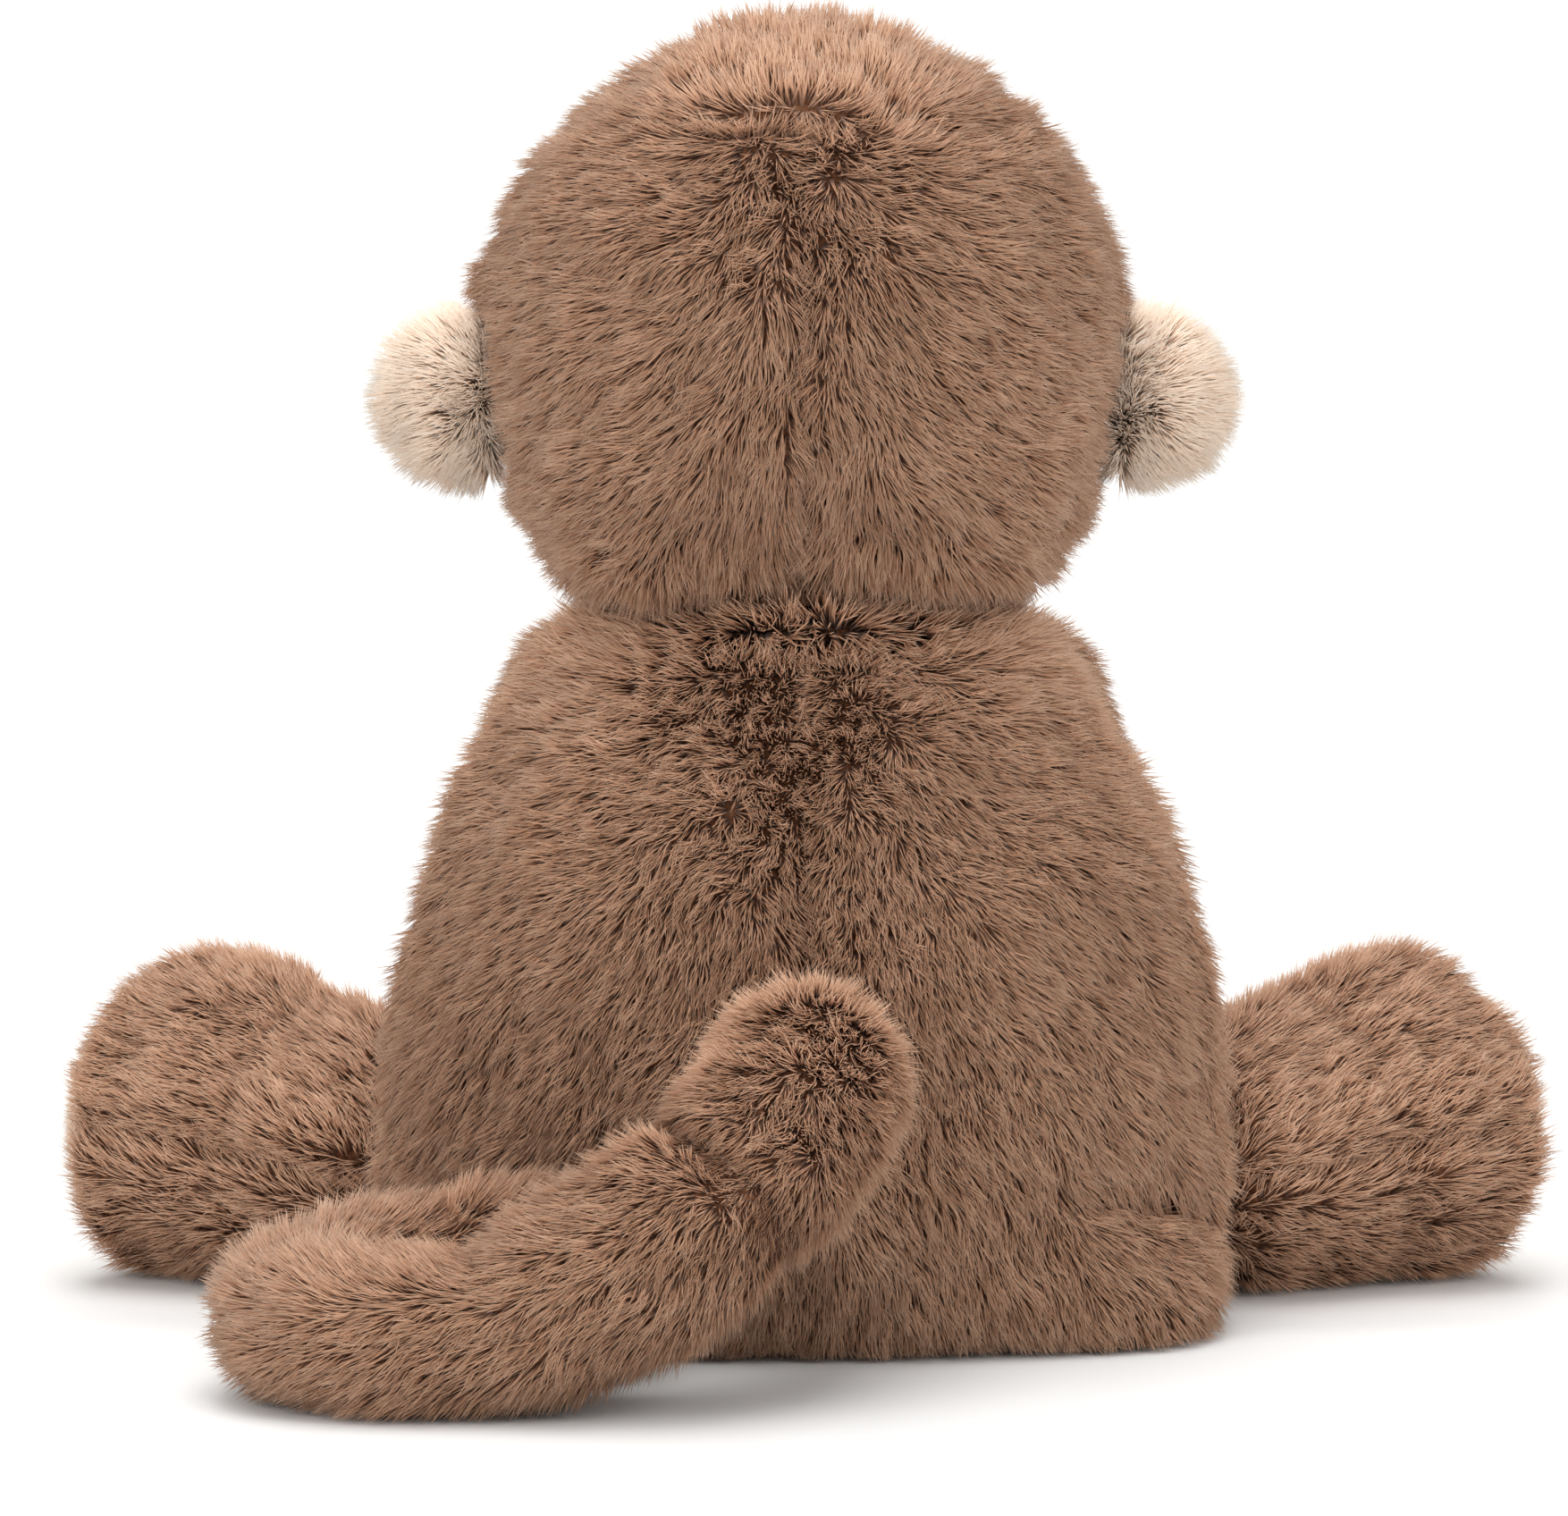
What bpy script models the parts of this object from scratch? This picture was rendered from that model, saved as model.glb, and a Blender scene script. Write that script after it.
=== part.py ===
"""Seated stuffed monkey: sewn plush panels over fibre stuffing, flexing where the limbs are sewn on.

The toy faces -Y and sits on Z = 0. +X is its own left side. The tail curls to its left behind it.
"""
import math

import bpy
import bmesh
from mathutils import Vector

MM = 0.001

# cloth
SKIN = 3.0 * MM          # backing cloth with its pile pressed flat
GAP = 0.3 * MM           # between pieces that touch
SEAM = 0.15 * MM         # each panel stops this far from its seam line
THIN_PART = 0.35         # share of the cloth left where it folds over a lip

# torso
TORSO_TOP = 133 * MM
HIP_Z = 30 * MM          # widest level
HIP_HALF = 74 * MM
BACK_DEPTH = 0.66        # depth behind the centre, over the half width
BELLY_DEPTH = 0.60
LEAN = 4 * MM            # the shoulders sit this far forward of the seat
SHOULDER_POWER = 2.2
BASE_TUCK = 14 * MM
TORSO_COLUMNS = 24
NECK_HOLE = 16.5 * MM
POUCH_CLOTH = 0.8 * MM
POUCH_HOLE = 4 * MM

# neck and head
NECK_Y = -4 * MM
NECK_PIVOT_Z = 136 * MM
NECK_RADIUS = 14 * MM
NECK_FOOT_Z = 130.1 * MM
HEAD_MID_Z = 188 * MM
HEAD_UP = 48 * MM
HEAD_DOWN = 50.5 * MM
HEAD_HALF = 55 * MM
HEAD_BACK = 48 * MM
HEAD_FRONT = 46 * MM
HEAD_HOLE = 16 * MM
CROWN_POWER = 1.1        # above 1 the crown narrows towards the top
CHIN_POWER = 0.92
JAW_SQUARE = 0.50        # how far the lower sides are filled out
CROWN_SEAM_DEG = 50
FACE_LOW_DEG = 130
DISH_RADIUS = 14.7 * MM

# face
EYE_RADIUS = 4.6 * MM
EYE_STEM = 1.5 * MM
WASHER_RADIUS = 4.5 * MM
MUZZLE_SPREAD_DEG = 27
MUZZLE_RISE_DEG = 21
MUZZLE_MID_DEG = 112
MUZZLE_HEIGHT = 11 * MM

# ears
EAR_ROOT_X = 56.6 * MM
EAR_MID_X = 61 * MM
EAR_Y = -5 * MM
EAR_Z = 169 * MM
EAR_RADIUS = 14 * MM
EAR_PUFF = 4.2 * MM
EAR_EDGE = 1.2 * MM

# limbs and tail: centre lines of the left side, in millimetres
ARM_LINE = ((41, -41, 112), (48.5, -46, 96), (53, -50, 82), (55, -52, 71))
ARM_RADIUS = (13.5, 12.3, 12.6, 13.6)
LEG_LINE = ((86, -34, 26), (97, -41, 28), (109, -48, 30), (119, -54, 31))
LEG_WIDTH = (23, 26, 29.5, 31)
LEG_HEIGHT = (25, 27, 29.5, 30.5)
LEG_CAPS = (23, 14)
TAIL_ROOT_LINE = ((0, 63.5, 52), (4, 76, 46.5), (13, 86, 37.5), (26, 90.5, 28), (40, 90.5, 20.5))
CURL_MIDDLE = (68.5, 71.6)
CURL_RADIUS = 17.6
TAIL_MID_LINE = (
    (40, 90.5, 20.5), (48, 90.2, 17.2), (57.5, 89.4, 15.3),
    *(
        (
            CURL_MIDDLE[0] + CURL_RADIUS * math.cos(math.radians(a)),
            CURL_MIDDLE[1] + CURL_RADIUS * math.sin(math.radians(a)),
            15,
        )
        for a in (90, 60, 30, 0, -30, -60, -90)
    ),
    (62, 54.2, 15),
)
TAIL_TIP_LINE = ((62, 54.2, 15), (55, 54.2, 15.3), (47, 54.5, 16))
TAIL_RADIUS = 15 * MM
TAIL_ROOT_RADIUS = 16 * MM
BALL_RADIUS = 12 * MM
BALL_PLAY = 1.0 * MM      # between a ball end and the hollow that turns on it
TAIL_SLACK = 0.8 * MM     # the tail is stuffed more loosely than the rest
BALL_NECK = 13 * MM       # the full tube stops this far from the ball's centre

BROWN = (0.30, 0.185, 0.120)
PALE = (0.62, 0.46, 0.34)
FIBRE = (0.86, 0.86, 0.84)

for old in list(bpy.data.objects):
    bpy.data.objects.remove(old, do_unlink=True)


def material(name, colour, roughness, metallic=0.0):
    made = bpy.data.materials.new(name)
    made.use_nodes = True
    shader = made.node_tree.nodes["Principled BSDF"]
    shader.inputs["Base Color"].default_value = (*colour, 1.0)
    shader.inputs["Roughness"].default_value = roughness
    shader.inputs["Metallic"].default_value = metallic
    return made


class Surface:
    """A closed skin as rows of points; a row of one point is a pole."""

    def __init__(self, rows, thin_rows=()):
        self.rows = rows
        self.thin_rows = thin_rows
        self.columns = max(len(row) for row in rows)
        self.flip = False
        self.normals = self.find_normals()
        middle = [sum(row, Vector()) / len(row) for row in rows]
        outward = sum(
            normal.dot(point - centre)
            for row, normals, centre in zip(rows, self.normals, middle)
            for point, normal in zip(row, normals)
        )
        if outward < 0:
            self.flip = True
            self.normals = [[-n for n in row] for row in self.normals]

    def at(self, j, i):
        row = self.rows[j]
        return row[i % len(row)]

    def find_normals(self):
        found = []
        last = len(self.rows) - 1
        for j, row in enumerate(self.rows):
            line = []
            for i in range(len(row)):
                if len(row) == 1:
                    near = self.rows[1] if j == 0 else self.rows[last - 1]
                    total = Vector()
                    for k in range(len(near)):
                        total += (near[k] - row[0]).cross(near[(k + 1) % len(near)] - row[0])
                    line.append(total.normalized() * (-1 if j == 0 else 1))
                    continue
                along = self.at(j, i + 1) - self.at(j, i - 1)
                down = self.at(min(j + 1, last), i) - self.at(max(j - 1, 0), i)
                line.append(along.cross(down).normalized())
            found.append(line)
        return found

    def depth_at(self, j, depth):
        """The cloth is pared down on the thin rows, so that a folded lip has room inside."""
        return depth - SKIN * (1 - THIN_PART) if j in self.thin_rows else depth

    def inside(self, depth):
        """The rows moved inward."""
        return [
            [p - n * self.depth_at(j, depth) for p, n in zip(row, normals)]
            for j, (row, normals) in enumerate(zip(self.rows, self.normals))
        ]


def cells(surface, keep):
    """Corner keys of the kept cells, two triangles to a cell, wound outward."""
    last = len(surface.rows) - 1
    for j in range(last):
        for i in range(surface.columns):
            if not keep(j, i):
                continue
            k = (i + 1) % surface.columns
            a = (j, i if len(surface.rows[j]) > 1 else 0)
            b = (j, k if len(surface.rows[j]) > 1 else 0)
            c = (j + 1, k if len(surface.rows[j + 1]) > 1 else 0)
            d = (j + 1, i if len(surface.rows[j + 1]) > 1 else 0)
            for corners in ((a, b, c), (a, c, d)):
                if len(set(corners)) == 3:
                    yield corners if not surface.flip else corners[::-1]


def finish(mesh_data, name, finish_material, pivot, smooth=True):
    """Put the built mesh in the scene with its origin on its own pivot."""
    bmesh.ops.recalc_face_normals(mesh_data, faces=mesh_data.faces)
    bmesh.ops.translate(mesh_data, verts=mesh_data.verts, vec=-pivot)
    mesh = bpy.data.meshes.new(name)
    mesh_data.to_mesh(mesh)
    mesh_data.free()
    for face in mesh.polygons:
        face.use_smooth = smooth
    mesh.materials.append(finish_material)
    made = bpy.data.objects.new(name, mesh)
    made.location = pivot
    bpy.context.scene.collection.objects.link(made)
    return made


def everywhere(j, i):
    return True


def solid(name, rows, finish_material, pivot):
    """A closed stuffed form."""
    surface = Surface(rows)
    built = bmesh.new()
    corner = {}
    for j, row in enumerate(surface.rows):
        for i, point in enumerate(row):
            corner[(j, i)] = built.verts.new(point)
    for triangle in cells(surface, everywhere):
        built.faces.new([corner[key] for key in triangle])
    return finish(built, name, finish_material, pivot)


def panel(name, surface, keep, thickness, finish_material, pivot):
    """A cut and sewn panel: the kept cells, given thickness, with its seam edges drawn in."""
    built = bmesh.new()
    outer = {}
    normal = {}
    for triangle in cells(surface, keep):
        for key in triangle:
            if key not in outer:
                outer[key] = built.verts.new(surface.rows[key[0]][key[1]])
                depth = surface.depth_at(key[0], thickness)
                normal[outer[key]] = surface.normals[key[0]][key[1]] * depth
        built.faces.new([outer[key] for key in triangle])
    built.normal_update()
    rim = [edge for edge in built.edges if edge.is_boundary]
    pull = {}
    for edge in rim:
        face = edge.link_faces[0]
        along = edge.verts[1].co - edge.verts[0].co
        inward = face.normal.cross(along).normalized()
        if inward.dot(face.calc_center_median() - edge.verts[0].co) < 0:
            inward = -inward
        for vert in edge.verts:
            pull.setdefault(vert, []).append(inward)
    for vert, ways in pull.items():
        total = sum(ways, Vector())
        spread = 1.0 + ways[0].dot(ways[-1])
        vert.co += total * (SEAM / max(spread, 0.6))
    faces = list(built.faces)
    under = {vert: built.verts.new(vert.co - way) for vert, way in normal.items()}
    for face in faces:
        built.faces.new([under[vert] for vert in reversed(face.verts)])
    for edge in rim:
        a, b = edge.verts
        built.faces.new((a, b, under[b]))
        built.faces.new((a, under[b], under[a]))
    return finish(built, name, finish_material, pivot)


def ring(centre, side, up, width, height, count):
    return [
        centre + side * (width * math.cos(t)) + up * (height * math.sin(t))
        for t in (math.tau * i / count for i in range(count))
    ]


def curve_point(line, t):
    """A smooth line through the given points."""
    spans = len(line) - 1
    k = min(int(t * spans), spans - 1)
    u = t * spans - k
    p1, p2 = line[k], line[k + 1]
    p0 = line[k - 1] if k else p1 * 2 - p2
    p3 = line[k + 2] if k + 2 <= spans else p2 * 2 - p1
    return 0.5 * (
        p1 * 2 + (p2 - p0) * u + (p0 * 2 - p1 * 5 + p2 * 4 - p3) * u ** 2
        + (p1 * 3 - p0 - p2 * 3 + p3) * u ** 3
    )


def curve_way(line, t):
    step = 0.01
    return (curve_point(line, min(t + step, 1)) - curve_point(line, max(t - step, 0))).normalized()


def value_at(values, t):
    spans = len(values) - 1
    k = min(int(t * spans), spans - 1)
    u = t * spans - k
    u = u * u * (3 - 2 * u)
    return values[k] + (values[k + 1] - values[k]) * u


def sweep(line, widths, heights, steps, start, end, columns, upright):
    """Rows of a stuffed tube. start and end are a dome length, 'ball' or 'dish'."""
    rows = []

    def frame(t):
        way = curve_way(line, t)
        side = upright.cross(way).normalized()
        return curve_point(line, t), way, side, way.cross(side)

    samples = [curve_point(line, k / 60) for k in range(61)]
    length = sum((b - a).length for a, b in zip(samples, samples[1:]))
    centre, way, side, up = frame(0)
    first = 0.0
    if start == "dish":
        hollow = BALL_RADIUS + BALL_PLAY
        rows.append([centre + way * hollow])
        for angle in (28, 52):
            a = math.radians(angle)
            reach = hollow * math.sin(a)
            rows.append(ring(centre + way * hollow * math.cos(a), side, up, reach, reach, columns))
        a = math.radians(60)
        lip = hollow + 2.0 * MM
        rows.append(
            ring(centre + way * lip * math.cos(a), side, up, lip * math.sin(a), lip * math.sin(a), columns)
        )
        first = BALL_NECK / length
    else:
        rows.append([centre - way * start])
        for angle in (30, 60):
            a = math.radians(angle)
            size = math.sin(a)
            rows.append(
                ring(centre - way * start * math.cos(a), side, up, widths[0] * size, heights[0] * size, columns)
            )
    last = 1.0 if end != "ball" else 1.0 - BALL_NECK / length
    for k in range(steps + 1):
        t = first + (last - first) * k / steps
        centre, way, side, up = frame(t)
        rows.append(ring(centre, side, up, value_at(widths, t), value_at(heights, t), columns))
    centre, way, side, up = frame(1)
    if end == "ball":
        for angle in (100, 66, 33):
            a = math.radians(angle)
            reach = BALL_RADIUS * math.sin(a)
            rows.append(ring(centre + way * BALL_RADIUS * math.cos(a), side, up, reach, reach, columns))
        rows.append([centre + way * BALL_RADIUS])
    else:
        for angle in (60, 30):
            a = math.radians(angle)
            size = math.sin(a)
            rows.append(
                ring(centre + way * end * math.cos(a), side, up, widths[-1] * size, heights[-1] * size, columns)
            )
        rows.append([centre + way * end])
    return rows


def points(line, side=1):
    return [Vector((x * side, y, z)) * MM for x, y, z in line]


cloth_brown = (BROWN, 0.92)
stuffing_white = (FIBRE, 0.95)

# ---- torso: two back panels, a belly panel, a base panel --------------------------------------


def torso_row(half, z):
    """One level of the torso: an ellipse, deeper behind than in front."""
    lean = -LEAN * max(0.0, (z - HIP_Z) / (TORSO_TOP - HIP_Z))
    row = []
    for i in range(TORSO_COLUMNS):
        turn = math.tau * i / TORSO_COLUMNS
        depth = BACK_DEPTH if math.cos(turn) > 0 else BELLY_DEPTH
        row.append(Vector((half * math.sin(turn), lean + half * depth * math.cos(turn), z)))
    return row


def torso_rows():
    neck = Vector((0, NECK_Y, TORSO_TOP))
    rows = [[neck]]
    rows.append(
        [
            neck + Vector((math.sin(t), math.cos(t), 0)) * NECK_HOLE
            for t in (math.tau * i / TORSO_COLUMNS for i in range(TORSO_COLUMNS))
        ]
    )
    for angle in (26, 40, 54, 66, 78, 90):
        a = math.radians(angle)
        power = 2 / SHOULDER_POWER
        rows.append(
            torso_row(
                HIP_HALF * math.sin(a) ** power,
                HIP_Z + (TORSO_TOP - HIP_Z) * max(math.cos(a), 0) ** power,
            )
        )
    for angle in (12, 36, 62, 90):
        a = math.radians(angle)
        rows.append(torso_row(HIP_HALF - BASE_TUCK * (1 - math.cos(a)), HIP_Z * (1 - math.sin(a))))
    rows.append(torso_row(HIP_HALF * 0.42, 0))
    rows.append([Vector((0, 0, 0))])
    return rows


torso = Surface(torso_rows())
SEAT_ROW = 10            # the base panel starts here
SPLIT_ROW = 8            # stuffing above, pellet pouch below
seat = Vector((0, 0, 0))
side_seam = TORSO_COLUMNS // 4

panel(
    "back_left", torso, lambda j, i: 1 <= j < SEAT_ROW and i < side_seam,
    SKIN, material("plush_back_left", *cloth_brown), seat,
)
panel(
    "back_right", torso, lambda j, i: 1 <= j < SEAT_ROW and i >= TORSO_COLUMNS - side_seam,
    SKIN, material("plush_back_right", *cloth_brown), seat,
)
panel(
    "belly_panel", torso,
    lambda j, i: 1 <= j < SEAT_ROW and side_seam <= i < TORSO_COLUMNS - side_seam,
    SKIN, material("plush_belly", *cloth_brown), seat,
)
panel(
    "base_panel", torso, lambda j, i: j >= SEAT_ROW,
    SKIN, material("plush_base", *cloth_brown), seat,
)

# ---- inside the torso: fibre above, a pouch of pellets in the seat ----------------------------
lined = torso.inside(SKIN + GAP)
floor_z = lined[SPLIT_ROW][0].z


def shrunk(row, part, z):
    middle = sum(row, Vector()) / len(row)
    return [Vector((middle.x + (p.x - middle.x) * part, middle.y + (p.y - middle.y) * part, z)) for p in row]


level = [[Vector((p.x, p.y, floor_z)) for p in lined[SPLIT_ROW]]]
stuffing_rows = lined[:SPLIT_ROW] + level
stuffing_rows += [shrunk(level[0], 0.5, floor_z), [sum(level[0], Vector()) / TORSO_COLUMNS]]
solid("body_stuffing", stuffing_rows, material("fibre_body", *stuffing_white), seat)

pouch_z = floor_z - GAP
pouch_top = shrunk(level[0], 1.0, pouch_z)
hole_part = POUCH_HOLE / (HIP_HALF * BACK_DEPTH)
pouch = Surface(
    [shrunk(pouch_top, 0.04, pouch_z), shrunk(pouch_top, hole_part, pouch_z), shrunk(pouch_top, 0.5, pouch_z)]
    + [pouch_top] + lined[SPLIT_ROW + 1:]
)
panel(
    "pellet_pouch", pouch, lambda j, i: j >= 1,
    POUCH_CLOTH, material("pouch_cloth", (0.80, 0.78, 0.72), 0.85), seat,
)
fill = pouch.inside(POUCH_CLOTH + GAP)
fill_top = [sum(fill[1], Vector()) / TORSO_COLUMNS]
solid("pellet_fill", [fill_top] + fill[2:], material("pellets", (0.88, 0.90, 0.92), 0.45), seat)

# ---- neck: a firm roll of stuffing the head turns and nods on ----------------------------------
neck_pivot = Vector((0, NECK_Y, NECK_PIVOT_Z))


def round_row(centre, radius, count):
    return [
        centre + Vector((math.sin(t), math.cos(t), 0)) * radius
        for t in (math.tau * i / count for i in range(count))
    ]


neck_rows = [[neck_pivot + Vector((0, 0, NECK_RADIUS))]]
for lift in (65, 40, 18, 0):
    a = math.radians(lift)
    neck_rows.append(
        round_row(neck_pivot + Vector((0, 0, NECK_RADIUS * math.sin(a))), NECK_RADIUS * math.cos(a), 16)
    )
neck_foot = Vector((0, NECK_Y, NECK_FOOT_Z))
neck_rows.append(round_row(neck_foot, NECK_RADIUS, 16))
neck_rows.append([neck_foot])
solid("neck_core", neck_rows, material("fibre_neck", *stuffing_white), neck_pivot)

# ---- head: crown, two back halves and a pale face, with a hollow below for the neck ------------
HEAD_ROWS_DEG = (0, 16, 32, CROWN_SEAM_DEG, 66, 82, 98, 114, FACE_LOW_DEG, 148)
HEAD_COLUMNS = 24


def head_point(turn, drop):
    """turn: radians from straight back round to the left; drop: radians down from the crown."""
    low = drop > math.pi / 2
    power = CROWN_POWER
    if low:
        lowered = CROWN_POWER - CHIN_POWER + JAW_SQUARE * abs(math.sin(turn))
        power -= lowered * min(1.0, (drop - math.pi / 2) * 2)
    flat = abs(math.sin(drop)) ** power
    rise = math.copysign(abs(math.cos(drop)) ** power, math.cos(drop))
    depth = HEAD_BACK if math.cos(turn) > 0 else HEAD_FRONT
    return Vector(
        (
            HEAD_HALF * flat * math.sin(turn),
            NECK_Y + depth * flat * math.cos(turn),
            HEAD_MID_Z + rise * (HEAD_DOWN if low else HEAD_UP),
        )
    )


def head_rows():
    rows = []
    for angle in HEAD_ROWS_DEG:
        drop = math.radians(angle)
        if angle == 0:
            rows.append([head_point(0, 0)])
            continue
        rows.append([head_point(math.tau * i / HEAD_COLUMNS, drop) for i in range(HEAD_COLUMNS)])
    under = Vector((0, NECK_Y, HEAD_MID_Z - HEAD_DOWN))
    rows.append(round_row(under, HEAD_HOLE, HEAD_COLUMNS))
    rows.append([under])
    return rows


head = Surface(head_rows())
CROWN_ROW = HEAD_ROWS_DEG.index(CROWN_SEAM_DEG)
CHIN_ROW = HEAD_ROWS_DEG.index(FACE_LOW_DEG)
HOLE_ROW = len(HEAD_ROWS_DEG)
FACE_FROM = 8
FACE_TO = 16
EYE_ROW = HEAD_ROWS_DEG.index(82)
EYE_COLUMNS = {"left": 11, "right": 13}
half_head = HEAD_COLUMNS // 2


def is_face(j, i):
    return CROWN_ROW <= j < CHIN_ROW and FACE_FROM <= i < FACE_TO


panel(
    "head_crown", head, lambda j, i: j < CROWN_ROW,
    SKIN, material("plush_crown", *cloth_brown), neck_pivot,
)
panel(
    "head_back_left", head,
    lambda j, i: CROWN_ROW <= j < HOLE_ROW and i < half_head and not is_face(j, i),
    SKIN, material("plush_head_left", *cloth_brown), neck_pivot,
)
panel(
    "head_back_right", head,
    lambda j, i: CROWN_ROW <= j < HOLE_ROW and i >= half_head and not is_face(j, i),
    SKIN, material("plush_head_right", *cloth_brown), neck_pivot,
)
face = panel(
    "face_panel", head, is_face, SKIN, material("plush_face", PALE, 0.92), neck_pivot,
)

# the stuffing is pressed back behind each eye, where the washer sits
WASHER_POCKET = 4.2 * MM
head_lined = head.inside(SKIN + GAP)
for column in EYE_COLUMNS.values():
    inner = head.normals[EYE_ROW][column]
    for j in (EYE_ROW - 1, EYE_ROW, EYE_ROW + 1):
        for i in (column - 1, column, column + 1):
            if i == half_head and column > half_head:
                continue
            head_lined[j][i] = head_lined[j][i] - inner * WASHER_POCKET
dish_rows = []
rim_z = head_lined[HOLE_ROW][0].z - NECK_PIVOT_Z
rim_angle = math.acos(rim_z / DISH_RADIUS)
for part in (1.0, 0.66, 0.33):
    a = rim_angle * part
    dish_rows.append(
        round_row(
            neck_pivot + Vector((0, 0, DISH_RADIUS * math.cos(a))), DISH_RADIUS * math.sin(a), HEAD_COLUMNS
        )
    )
dish_rows.append([neck_pivot + Vector((0, 0, DISH_RADIUS))])
solid(
    "head_stuffing", head_lined[:HOLE_ROW + 1] + dish_rows,
    material("fibre_head", *stuffing_white), neck_pivot,
)

# ---- eyes: a moulded bead with a stem through the face, held by a pressed washer ---------------


def lathe(name, profile, origin, axis, count, closed_loop, finish_material, pivot):
    """Turn a profile of (along, radius) about an axis."""
    side = axis.orthogonal().normalized()
    up = axis.cross(side)
    built = bmesh.new()
    rings = []
    for along, radius in profile:
        centre = origin + axis * along
        if radius == 0:
            rings.append([built.verts.new(centre)])
        else:
            rings.append([built.verts.new(p) for p in ring(centre, side, up, radius, radius, count)])
    pairs = list(zip(rings, rings[1:]))
    if closed_loop:
        pairs.append((rings[-1], rings[0]))
    for near, far in pairs:
        for i in range(count):
            k = (i + 1) % count
            corners = [near[i % len(near)], near[k % len(near)], far[k % len(far)], far[i % len(far)]]
            kept = []
            for vert in corners:
                if vert not in kept:
                    kept.append(vert)
            built.faces.new(kept)
    return finish(built, name, finish_material, pivot)


bead_black = ((0.012, 0.010, 0.010), 0.08)
STEM_END = 6.6 * MM
for side_name, column in EYE_COLUMNS.items():
    spot = head.rows[EYE_ROW][column]
    axis = head.normals[EYE_ROW][column]
    bore = bpy.data.objects.new("eye_bore_" + side_name, bpy.data.meshes.new("eye_bore_" + side_name))
    bore_mesh = bmesh.new()
    bmesh.ops.create_cone(
        bore_mesh, cap_ends=True, segments=12, radius1=EYE_STEM + GAP, radius2=EYE_STEM + GAP, depth=20 * MM
    )
    bore_mesh.to_mesh(bore.data)
    bore_mesh.free()
    bore.location = spot
    bore.rotation_mode = "QUATERNION"
    bore.rotation_quaternion = axis.to_track_quat("Z", "Y")
    bore.hide_render = True
    bore.display_type = "WIRE"
    bpy.context.scene.collection.objects.link(bore)
    cut = face.modifiers.new("eye_hole_" + side_name, "BOOLEAN")
    cut.operation = "DIFFERENCE"
    cut.solver = "EXACT"
    cut.object = bore
    bead = [(-STEM_END, 0), (-STEM_END, EYE_STEM), (GAP, EYE_STEM), (GAP, EYE_RADIUS * 0.82)]
    for angle in (0, 35, 65):
        a = math.radians(angle)
        bead.append((GAP + 1.2 * MM + 3.6 * MM * math.sin(a), EYE_RADIUS * math.cos(a)))
    bead.append((GAP + 4.8 * MM, 0))
    lathe(
        "eye_" + side_name, bead, spot, axis, 16, False, material("bead_" + side_name, *bead_black), neck_pivot
    )
    near = -SKIN - 1.5 * MM
    washer = [
        (near, EYE_STEM + GAP), (near, WASHER_RADIUS),
        (near - 1.1 * MM, WASHER_RADIUS), (near - 1.1 * MM, EYE_STEM + GAP),
    ]
    lathe(
        "eye_washer_" + side_name, washer, spot, axis, 16, True,
        material("washer_" + side_name, (0.85, 0.85, 0.83), 0.4), neck_pivot,
    )

# ---- muzzle, nose and mouth --------------------------------------------------------------------


def face_frame(turn_deg, drop_deg):
    turn = math.radians(turn_deg)
    drop = math.radians(drop_deg)
    step = 0.01
    spot = head_point(turn, drop)
    across = head_point(turn + step, drop) - head_point(turn - step, drop)
    down = head_point(turn, drop + step) - head_point(turn, drop - step)
    return spot, across.cross(down).normalized()


def muzzle_lift(turn_deg, drop_deg):
    """Height of the muzzle over the face."""
    a = (turn_deg - 180) / MUZZLE_SPREAD_DEG
    b = (drop_deg - MUZZLE_MID_DEG) / MUZZLE_RISE_DEG
    return GAP + EAR_EDGE + MUZZLE_HEIGHT * math.sqrt(max(0.0, 1 - a * a - b * b))


def cap(name, turn_mid, drop_mid, turn_reach, drop_reach, under, over, finish_material):
    """A domed oval piece sewn onto the face."""
    count = 16
    top = []
    low = []
    for part in (0.0, 0.4, 0.72, 0.92, 1.0):
        upper_row = []
        lower_row = []
        for i in range(count if part else 1):
            t = math.tau * i / count
            turn = turn_mid + turn_reach * part * math.cos(t)
            drop = drop_mid + drop_reach * part * math.sin(t)
            spot, normal = face_frame(turn, drop)
            upper_row.append(spot + normal * over(turn, drop, part))
            lower_row.append(spot + normal * under(turn, drop))
        top.append(upper_row)
        low.append(lower_row)
    return solid(name, top + low[::-1], finish_material, neck_pivot)


cap(
    "muzzle", 180, MUZZLE_MID_DEG, MUZZLE_SPREAD_DEG, MUZZLE_RISE_DEG,
    lambda turn, drop: GAP * 1.6, lambda turn, drop, part: muzzle_lift(turn, drop),
    material("plush_muzzle", PALE, 0.92),
)
NOSE_DROP_DEG = 103
cap(
    "nose", 180, NOSE_DROP_DEG, 8.5, 4.2,
    lambda turn, drop: muzzle_lift(turn, drop) + GAP,
    lambda turn, drop, part: muzzle_lift(turn, drop) + GAP + 0.7 * MM + 2.2 * MM * math.sqrt(1 - part * part),
    material("nose_thread", (0.10, 0.055, 0.035), 0.6),
)
mouth_line = []
for k in range(13):
    across = -1 + 2 * k / 12
    turn = 180 + across * 12
    drop = 120.5 - 4.0 * across * across
    spot, normal = face_frame(turn, drop)
    mouth_line.append(spot + normal * (muzzle_lift(turn, drop) + 1.3 * MM))
thread = 0.7 * MM
mouth_rows = [[mouth_line[0] + (mouth_line[0] - mouth_line[1]).normalized() * thread]]
for k, spot in enumerate(mouth_line):
    way = (mouth_line[min(k + 1, 12)] - mouth_line[max(k - 1, 0)]).normalized()
    side = way.cross(Vector((0, 0, 1))).normalized()
    mouth_rows.append(ring(spot, side, way.cross(side), thread, thread, 8))
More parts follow.
